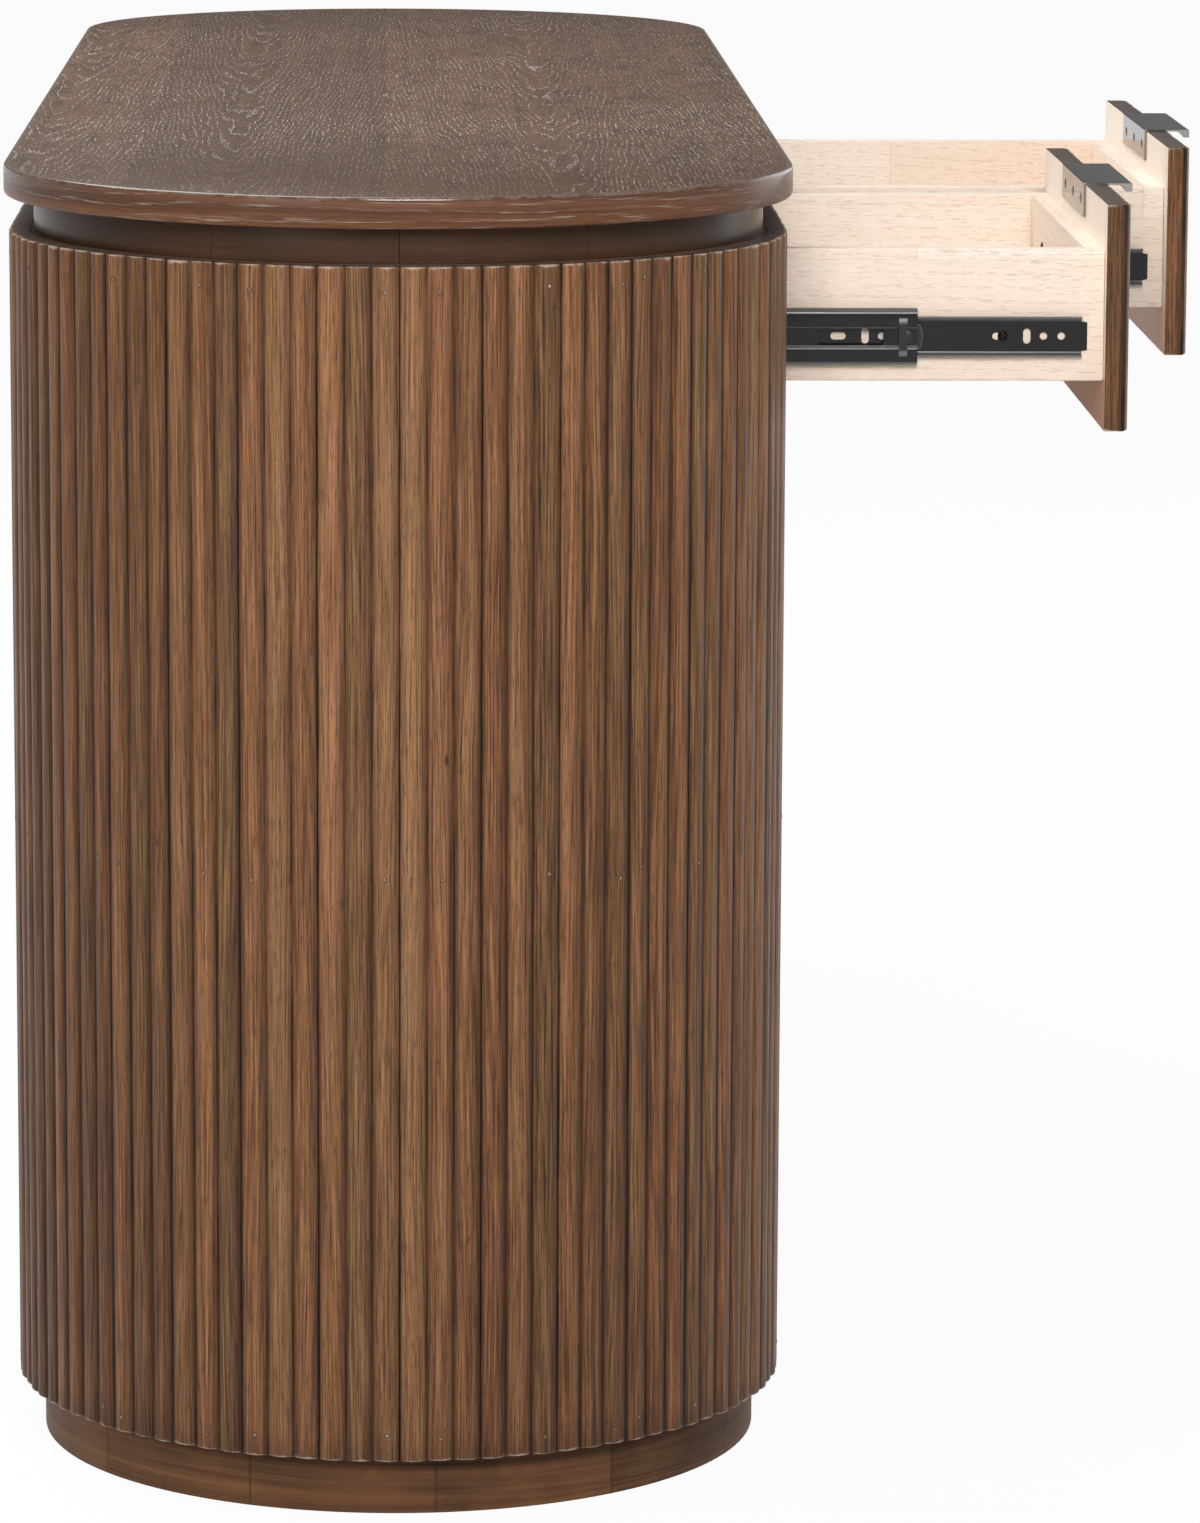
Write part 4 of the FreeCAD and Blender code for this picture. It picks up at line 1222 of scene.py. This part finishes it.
def rail_section(kind, edge, half):
    """Middle line of a member's section, depth from the wall and height, with round bends."""
    if kind == "case":
        path = [(9.4 * MM, edge - 2.4 * MM), (9.4 * MM, edge), (half, edge)]
        radii = [0.0, 1.6 * MM, 2.6 * MM]
    elif kind == "mid":
        web, floor, band = 4.8 * MM, 6.3 * MM, 5.9 * MM
        path = [(11.4 * MM, edge), (web, edge), (web, band), (floor, band), (floor, WINDOW_HALF)]
        radii = [0.0, 3.0 * MM, 0.6 * MM, 0.5 * MM, 0.0]
    else:
        web, tab = 12.1 * MM, 8.5 * MM
        path = [(7.5 * MM, edge), (web, edge), (web, tab), (web, HOLE_PAD_HALF)]
        radii = [0.0, 2.6 * MM, 0.0, 0.0]
    path += [(depth, -height) for depth, height in path[::-1]]
    if kind == "mid":
        path[7] = (web, -band - 1.3 * MM)
    return soften(path, radii + radii[::-1], 6, closed=False)


def rail_shell(heap, kind, line, sheet, wall, turn, low, high):
    """A rolled section carried along the slide, with its window or its holes left open."""
    ring = sheet_ring(line, sheet)
    count = len(ring)
    front, rear = low[1], high[1]
    middle = (low[2] + high[2]) / 2.0
    holes = drawer_rail_holes() if kind == "drawer" else []
    stations = [0.0]
    if kind == "mid":
        stations += [21.0 * MM, 61.0 * MM]
    for place, wide, tall in holes:
        pad = 5.2 if wide else 4.0
        stations += [(place - pad) * MM, (place + pad) * MM]
    along = front + np.array(stations + [rear - front])
    rows = len(along)
    points = stacked(wall + turn * ring[:, 0], along[:, None], middle + ring[:, 1])
    if kind == "drawer":
        flange = np.abs(ring[:, 1]) > 8.6 * MM
        points[0, flange, 1] += 3.5 * MM
    tube = tube_faces(rows, count)
    faces = [tube, ladder_caps(rows, count)]
    extra = []
    if kind != "case":
        gap = WINDOW_HALF if kind == "mid" else HOLE_PAD_HALF
        upper, lower = np.flatnonzero(np.isclose(np.abs(line[:, 1]), gap, atol=1e-6))
        twin_upper, twin_lower = count - 1 - upper, count - 1 - lower
        gap_rows = [1] if kind == "mid" else [1 + 2 * index for index in range(len(holes))]
        keep = np.ones((rows - 1, count), bool)
        keep[np.ix_(gap_rows, [min(upper, lower), min(twin_upper, twin_lower)])] = False
        faces[0] = tube.reshape(rows - 1, count, 4)[keep]
        for number, row in enumerate(gap_rows):
            near, far = row * count, (row + 1) * count
            outer = np.array([near + upper, far + upper, far + lower, near + lower])
            inner = np.array([near + twin_upper, far + twin_upper, far + twin_lower, near + twin_lower])
            if kind == "mid":
                faces.append(wall_between(outer, inner))
                continue
            rim_y, rim_z = hole_rim(holes[number], front, middle)
            sides = len(rim_y)
            rims = []
            for skin, corner in ((ring[upper, 0], outer), (ring[twin_upper, 0], inner)):
                rim = rows * count + sides * len(extra) + np.arange(sides)
                extra.append(stacked(wall + turn * skin, rim_y, rim_z))
                faces.append(sheet_round_hole(corner, rim))
                rims.append(rim)
            faces.append(wall_between(*rims))
    flat_points = np.concatenate([points.reshape(-1, 3), *extra])
    # Painted highlight: tight bends and the free edges of the sheet are marked for a light rim colour.
    short = np.concatenate([[False], np.diff(arc_lengths(line)) < 1.3 * MM, [False]])
    bend = short[1:] & short[:-1]
    lip = np.convolve(bend, np.ones(3), "same") > 2.5
    lip[[0, -1]] = True
    lip = np.concatenate([lip, lip[::-1]]) * 0.9
    marks = np.concatenate([np.tile(lip, rows), np.zeros(len(flat_points) - rows * count)])
    heap.add(flat_points, faces, flat_points[:, 1:], edge=marks)


def drawer_rail_holes():
    """Place along a drawer member, in millimetres, and how far each hole is widened or heightened."""
    holes = [(16.0, 0.0, 0.0)]
    for first, wide, tall in ((27.0, 0.0, 0.0), (37.3, 0.0, 2.4), (54.0, 2.4, 0.0)):
        holes += [(first + shift, wide, tall) for shift in (0.0, 100.0, 200.0)]
    return sorted(holes)


def hole_rim(hole, front, middle):
    """Rim of a round hole or slot: a circle whose quarters are moved apart."""
    place, wide, tall = hole
    radius = 2.35 * MM
    angle = np.arange(32) / 32 * 2.0 * math.pi - 0.75 * math.pi
    rim_y = front + place * MM + radius * np.cos(angle) + wide * MM * np.sign(np.cos(angle))
    rim_z = middle - radius * np.sin(angle) - tall * MM * np.sign(np.sin(angle))
    return rim_y, rim_z


def sheet_round_hole(corner, rim):
    """Four faces between the corners of a flat pad and the rim of its hole, as point numbers."""
    sides = len(rim)
    quarter = sides // 4
    faces = []
    for k in range(4):
        arc = rim[(quarter * (k + 1) - np.arange(quarter + 1)) % sides]
        faces.append(np.concatenate([corner[[k, (k + 1) % 4]], arc]))
    return np.array(faces)


def wall_between(outer, inner):
    """Quads between two closed rows of point numbers."""
    return np.stack([outer, np.roll(outer, -1), np.roll(inner, -1), inner], -1)


def pressed_clips(heap, wall, turn, front, middle):
    """Strap bent over the band of a middle member, its round boss, and the half-oval stop."""
    path = np.array([(4.45, 11.6), (3.75, 10.0), (3.75, 7.8), (3.75, -7.8), (3.75, -10.0), (4.45, -11.6)])
    line = soften(path * MM, [0.0, 0.8 * MM, 0.0, 0.0, 0.8 * MM, 0.0], 5, closed=False)
    ring = sheet_ring(line, 0.9 * MM)
    along = front + np.array([6.3, 6.5, 11.3, 11.5]) * MM
    points = stacked(wall + turn * ring[:, 0], along[:, None], middle + ring[:, 1])
    # Painted highlight on the bent-out tips of the strap.
    bright = np.clip((np.abs(ring[:, 1]) - 8.2 * MM) / (0.8 * MM), 0.0, 1.0)
    heap.tube(points, ladder_caps, points[..., 1:], edge=np.tile(bright, len(along)))
    dome = np.array([(0.0, -0.6), (4.5, -0.6), (4.5, 0.15), (4.2, 0.5), (3.2, 0.8), (1.6, 0.95),
                     (0.0, 1.0)])
    place = np.array([wall + turn * 4.2 * MM, front + 6.3 * MM, middle])
    turned_shell(heap, dome * MM, 32, place, facing((-turn, 0.0)), edge=0.0)
    sweep = np.linspace(-1.0, 1.0, 25)
    bow = np.stack([front - 3.4 * MM * np.sqrt(1.0 - sweep ** 2), middle + 8.2 * MM * sweep], -1)
    rear = np.stack([np.full(25, front + 4.0 * MM), bow[:, 1]], -1)[::-1]
    outline = np.concatenate([bow, rear])
    depth = np.array([6.95, 7.15, 7.65, 7.85]) * MM
    points = stacked((wall + turn * depth)[:, None], outline[:, 0], outline[:, 1])
    points[[0, -1], :, 1:] = soften_inwards(outline, 0.8 * MM)
    # Painted highlight on the middle rows of the stop's bow.
    hidden = np.zeros(len(outline))
    shown = np.where(np.arange(len(outline)) < len(bow), 1.0, 0.0)
    heap.tube(points, ladder_caps, points[..., 1:], edge=np.concatenate([hidden, shown, shown, hidden]))


class DESK_OT_screws(bpy.types.Operator):
    """Pan-head screws with a cross recess"""
    bl_idname = "desk.screws"
    bl_label = "Screws"

    def execute(self, context):
        black = finish(worked_metal, "slide_black", 0.30, 0.3, 1500.0)
        for index, side in enumerate(SIDE_NAMES):
            drawer = side + "_drawer"
            for name, body, axis, metal, rise in (("case_rail", "desk", 0, black, 1.0),
                                                  ("drawer_rail", drawer, 0, black, 1.0),
                                                  ("drawer_pull", drawer, 1, gunmetal(), 0.2),
                                                  ("drawer_front", drawer, 1, black, 0.6)):
                node = side + "_" + name + "_screws"
                heap = Heap()
                rng = np.random.default_rng(SEEDS["screws"] + index)
                for place, outward, shank in screw_places(node, axis):
                    pan_head(heap, place, outward, shank, rng.uniform(0.0, math.pi), rise)
                heap.lay(node + "_cross", metal, body, (node,), sharp=40.0)
        return {"FINISHED"}


def screw_places(node, axis):
    """Seat, outward direction and shank length of each screw of a node, from the points of its solids."""
    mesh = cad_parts[node].data
    points = np.empty(len(mesh.vertices) * 3)
    mesh.vertices.foreach_get("co", points)
    points = points.reshape(-1, 3)
    plane = [index for index in range(3) if index != axis]
    first = points[:, axis] < (points[:, axis].min() + points[:, axis].max()) / 2.0
    head_reach = 0.012
    found = []
    for half in ((first, ~first) if axis == 0 else (np.ones(len(points), bool),)):
        rest = points[half]
        while len(rest):
            near = np.linalg.norm(rest[:, plane] - rest[0, plane], axis=1) < head_reach
            solid = rest[near]
            rest = rest[~near]
            middle = (solid.min(0) + solid.max(0)) / 2.0
            spread = np.linalg.norm(solid[:, plane] - middle[plane], axis=1)
            head = solid[spread > spread.max() * 0.9][:, axis]
            low, high = solid[:, axis].min(), solid[:, axis].max()
            towards = 1.0 if head.mean() > (low + high) / 2.0 else -1.0
            middle[axis] = head.min() if towards > 0 else head.max()
            outward = np.zeros(3)
            outward[axis] = towards
            found.append((middle, outward, abs(middle[axis] - (low if towards > 0 else high))))
    return found


def pan_head(heap, place, outward, shank, spin, rise):
    """Screw: a domed head r(t), z(t) times its rise, with four tapering slots, on a plain shank."""
    profile = np.array([(1.6, -shank / MM), (1.6, 0.0), (3.2, 0.0), (3.3, 0.5), (3.15, 1.2), (2.7, 1.75),
                        (2.2, 1.98), (1.9, 2.05), (1.55, 2.1), (1.2, 2.14), (0.85, 2.17), (0.45, 2.2)])
    profile = profile * MM
    profile[2:, 1] *= rise
    segments = 32
    angle = np.arange(segments) / segments * 2.0 * math.pi
    radius = profile[:, :1]
    arm = np.abs(np.sin(2.0 * angle)) / 2.0 * radius
    inside = np.clip((0.62 * MM - arm) / (0.25 * MM), 0.0, 1.0)
    inside = inside * np.clip((2.15 * MM - radius) / (0.4 * MM), 0.0, 1.0)
    height = profile[:, 1:] - inside * 1.2 * MM * rise
    wall = np.stack([radius * np.cos(angle + spin), radius * np.sin(angle + spin), height], -1)
    poles = [(0.0, 0.0, -shank), (0.0, 0.0, 0.95 * MM * rise)]
    local = np.concatenate([wall.reshape(-1, 3), poles])
    set_down(heap, local, len(profile), segments, place, facing(outward), edge=0.0)


class DESK_OT_studio(bpy.types.Operator):
    """Pale floor, soft lamps, white surroundings and the camera"""
    bl_idname = "desk.studio"
    bl_label = "Studio"

    def execute(self, context):
        scene = context.scene
        scene.view_settings.view_transform = "Standard"
        mesh = bpy.data.meshes.new("studio_floor")
        reach = 60.0
        floor_corners = [(-reach, -reach, 0), (reach, -reach, 0), (reach, reach, 0), (-reach, reach, 0)]
        mesh.from_pydata(floor_corners, [], [(0, 1, 2, 3)])
        floor = bpy.data.objects.new("studio_floor", mesh)
        scene.collection.objects.link(floor)
        mesh.materials.append(floor_paint(scene.desk_colours.floor))
        world = bpy.data.worlds.new("studio")
        scene.world = world
        world.use_nodes = True
        world.node_tree.nodes.clear()
        bench = Bench(world.node_tree)
        path = bench.put("LightPath")
        seen = bench.calc("MAXIMUM", path.outputs["Is Camera Ray"], path.outputs["Is Transmission Ray"])
        strength = bench.calc("MAXIMUM", seen, bench.times(path.outputs["Is Glossy Ray"], 0.22))
        sky = bench.put("Background")
        bench.feed(sky.inputs["Strength"], bench.calc("MAXIMUM", strength, 0.26))
        bench.feed(bench.put("OutputWorld").inputs["Surface"], sky.outputs[0])
        lamp("key_lamp", (-3.0, -0.32, 1.9), (-0.6, -0.2, 0.55), 1.0, 1.1, 69.0)
        lamp("side_lamp", (-3.2, 1.5, 1.05), (-0.6, -0.2, 0.4), 1.2, 1.0, 8.0)
        lamp("fill_lamp", (-1.3, -3.0, 1.9), (0.1, -0.5, 0.65), 2.0, 1.6, 9.0)
        lamp("top_lamp", (0.9, 1.0, 3.4), (0.4, -0.3, 0.5), 3.2, 2.4, 112.0)
        lamp("panel_lamp", (2.6, -2.7, 1.2), (-0.4, -0.3, 0.5), 3.0, 2.2, 24.0)
        lamp("back_lamp", (3.0, 2.6, 2.2), (0.2, -0.2, 0.4), 2.0, 2.0, 30.0).visible_glossy = False
        camera(scene)
        return {"FINISHED"}


def lamp(name, place, target, width, depth, power):
    """Soft rectangular lamp that looks at a point."""
    light = bpy.data.lights.new(name, "AREA")
    light.shape = "RECTANGLE"
    light.size, light.size_y, light.energy = width, depth, power
    thing = bpy.data.objects.new(name, light)
    thing.location = place
    thing.rotation_euler = (Vector(target) - Vector(place)).to_track_quat("-Z", "Y").to_euler()
    bpy.context.scene.collection.objects.link(thing)
    return thing


def floor_paint(colour):
    """Pale floor that the camera sees nearly white, with the desk's shadow left on it."""
    material, bench = fresh("studio_floor")
    x, y = object_place(bench)[:2]
    patch = bench.noise(bench.stretched(x, 3.0, y, 3.0, 0.0))
    paint = bench.put("BsdfDiffuse")
    bench.feed(paint.inputs["Color"], bench.tinge(tuple(colour), (0.8, 0.8, 0.8), patch, 0.03))
    glow = bench.put("Emission")
    path = bench.put("LightPath")
    seen = bench.calc("MAXIMUM", path.outputs["Is Camera Ray"], path.outputs["Is Glossy Ray"])
    share = bench.times(bench.calc("MAXIMUM", seen, path.outputs["Is Transmission Ray"]), 0.95)
    mix = bench.put("MixShader")
    for socket, value in zip(mix.inputs, (share, paint.outputs[0], glow.outputs[0])):
        bench.feed(socket, value)
    bench.feed(bench.put("OutputMaterial").inputs["Surface"], mix.outputs[0])
    return material


def camera(scene):
    """Camera at the photograph's place: it looks along the desk and down, with no shift."""
    place = Vector((-4.5907, -0.1937, 1.1167))
    yaw, pitch, roll = 0.03114, 0.17531, 0.00487
    focal_pixels, frame_height = 6840.7, 1523.0
    ahead = Vector((math.cos(pitch) * math.cos(yaw), -math.cos(pitch) * math.sin(yaw), -math.sin(pitch)))
    right = ahead.cross(Vector((0.0, 0.0, 1.0))).normalized()
    up = right.cross(ahead)
    right, up = right * math.cos(roll) + up * math.sin(roll), up * math.cos(roll) - right * math.sin(roll)
    data = bpy.data.cameras.new("desk_camera")
    data.sensor_width = 36.0
    data.lens = focal_pixels / frame_height * data.sensor_width
    data.clip_end = 200.0
    thing = bpy.data.objects.new("desk_camera", data)
    turn = Matrix((right, up, -ahead)).transposed()
    thing.matrix_world = Matrix.Translation(place) @ turn.to_4x4()
    scene.collection.objects.link(thing)
    scene.camera = thing


class DESK_PT_panel(bpy.types.Panel):
    """The desk's pieces, in the order in which they are made"""
    bl_label = "Reeded Desk"
    bl_idname = "DESK_PT_panel"
    bl_space_type = "VIEW_3D"
    bl_region_type = "UI"
    bl_category = "Desk"

    def draw(self, context):
        for operator in OPERATORS:
            self.layout.operator(operator.bl_idname)
        for group in (context.scene.desk_sizes, context.scene.desk_colours):
            for key in group.__annotations__:
                self.layout.prop(group, key)


OPERATORS = (DESK_OT_reeded_body, DESK_OT_writing_top, DESK_OT_riser_and_plinth, DESK_OT_carcass,
             DESK_OT_drawer_fronts, DESK_OT_drawer_boxes, DESK_OT_pulls, DESK_OT_slides, DESK_OT_screws,
             DESK_OT_studio)
CLASSES = (DeskSizes, DeskColours, *OPERATORS, DESK_PT_panel)


def register():
    """Makes the add-on's classes and settings known."""
    for item in CLASSES:
        bpy.utils.register_class(item)
    bpy.types.Scene.desk_sizes = PointerProperty(type=DeskSizes)
    bpy.types.Scene.desk_colours = PointerProperty(type=DeskColours)


def unregister():
    """Takes the settings and classes away again."""
    del bpy.types.Scene.desk_colours
    del bpy.types.Scene.desk_sizes
    for item in reversed(CLASSES):
        bpy.utils.unregister_class(item)


def main():
    register()
    for operator in OPERATORS:
        group, name = operator.bl_idname.split(".")
        getattr(getattr(bpy.ops, group), name)()


if __name__ == "__main__":
    main()
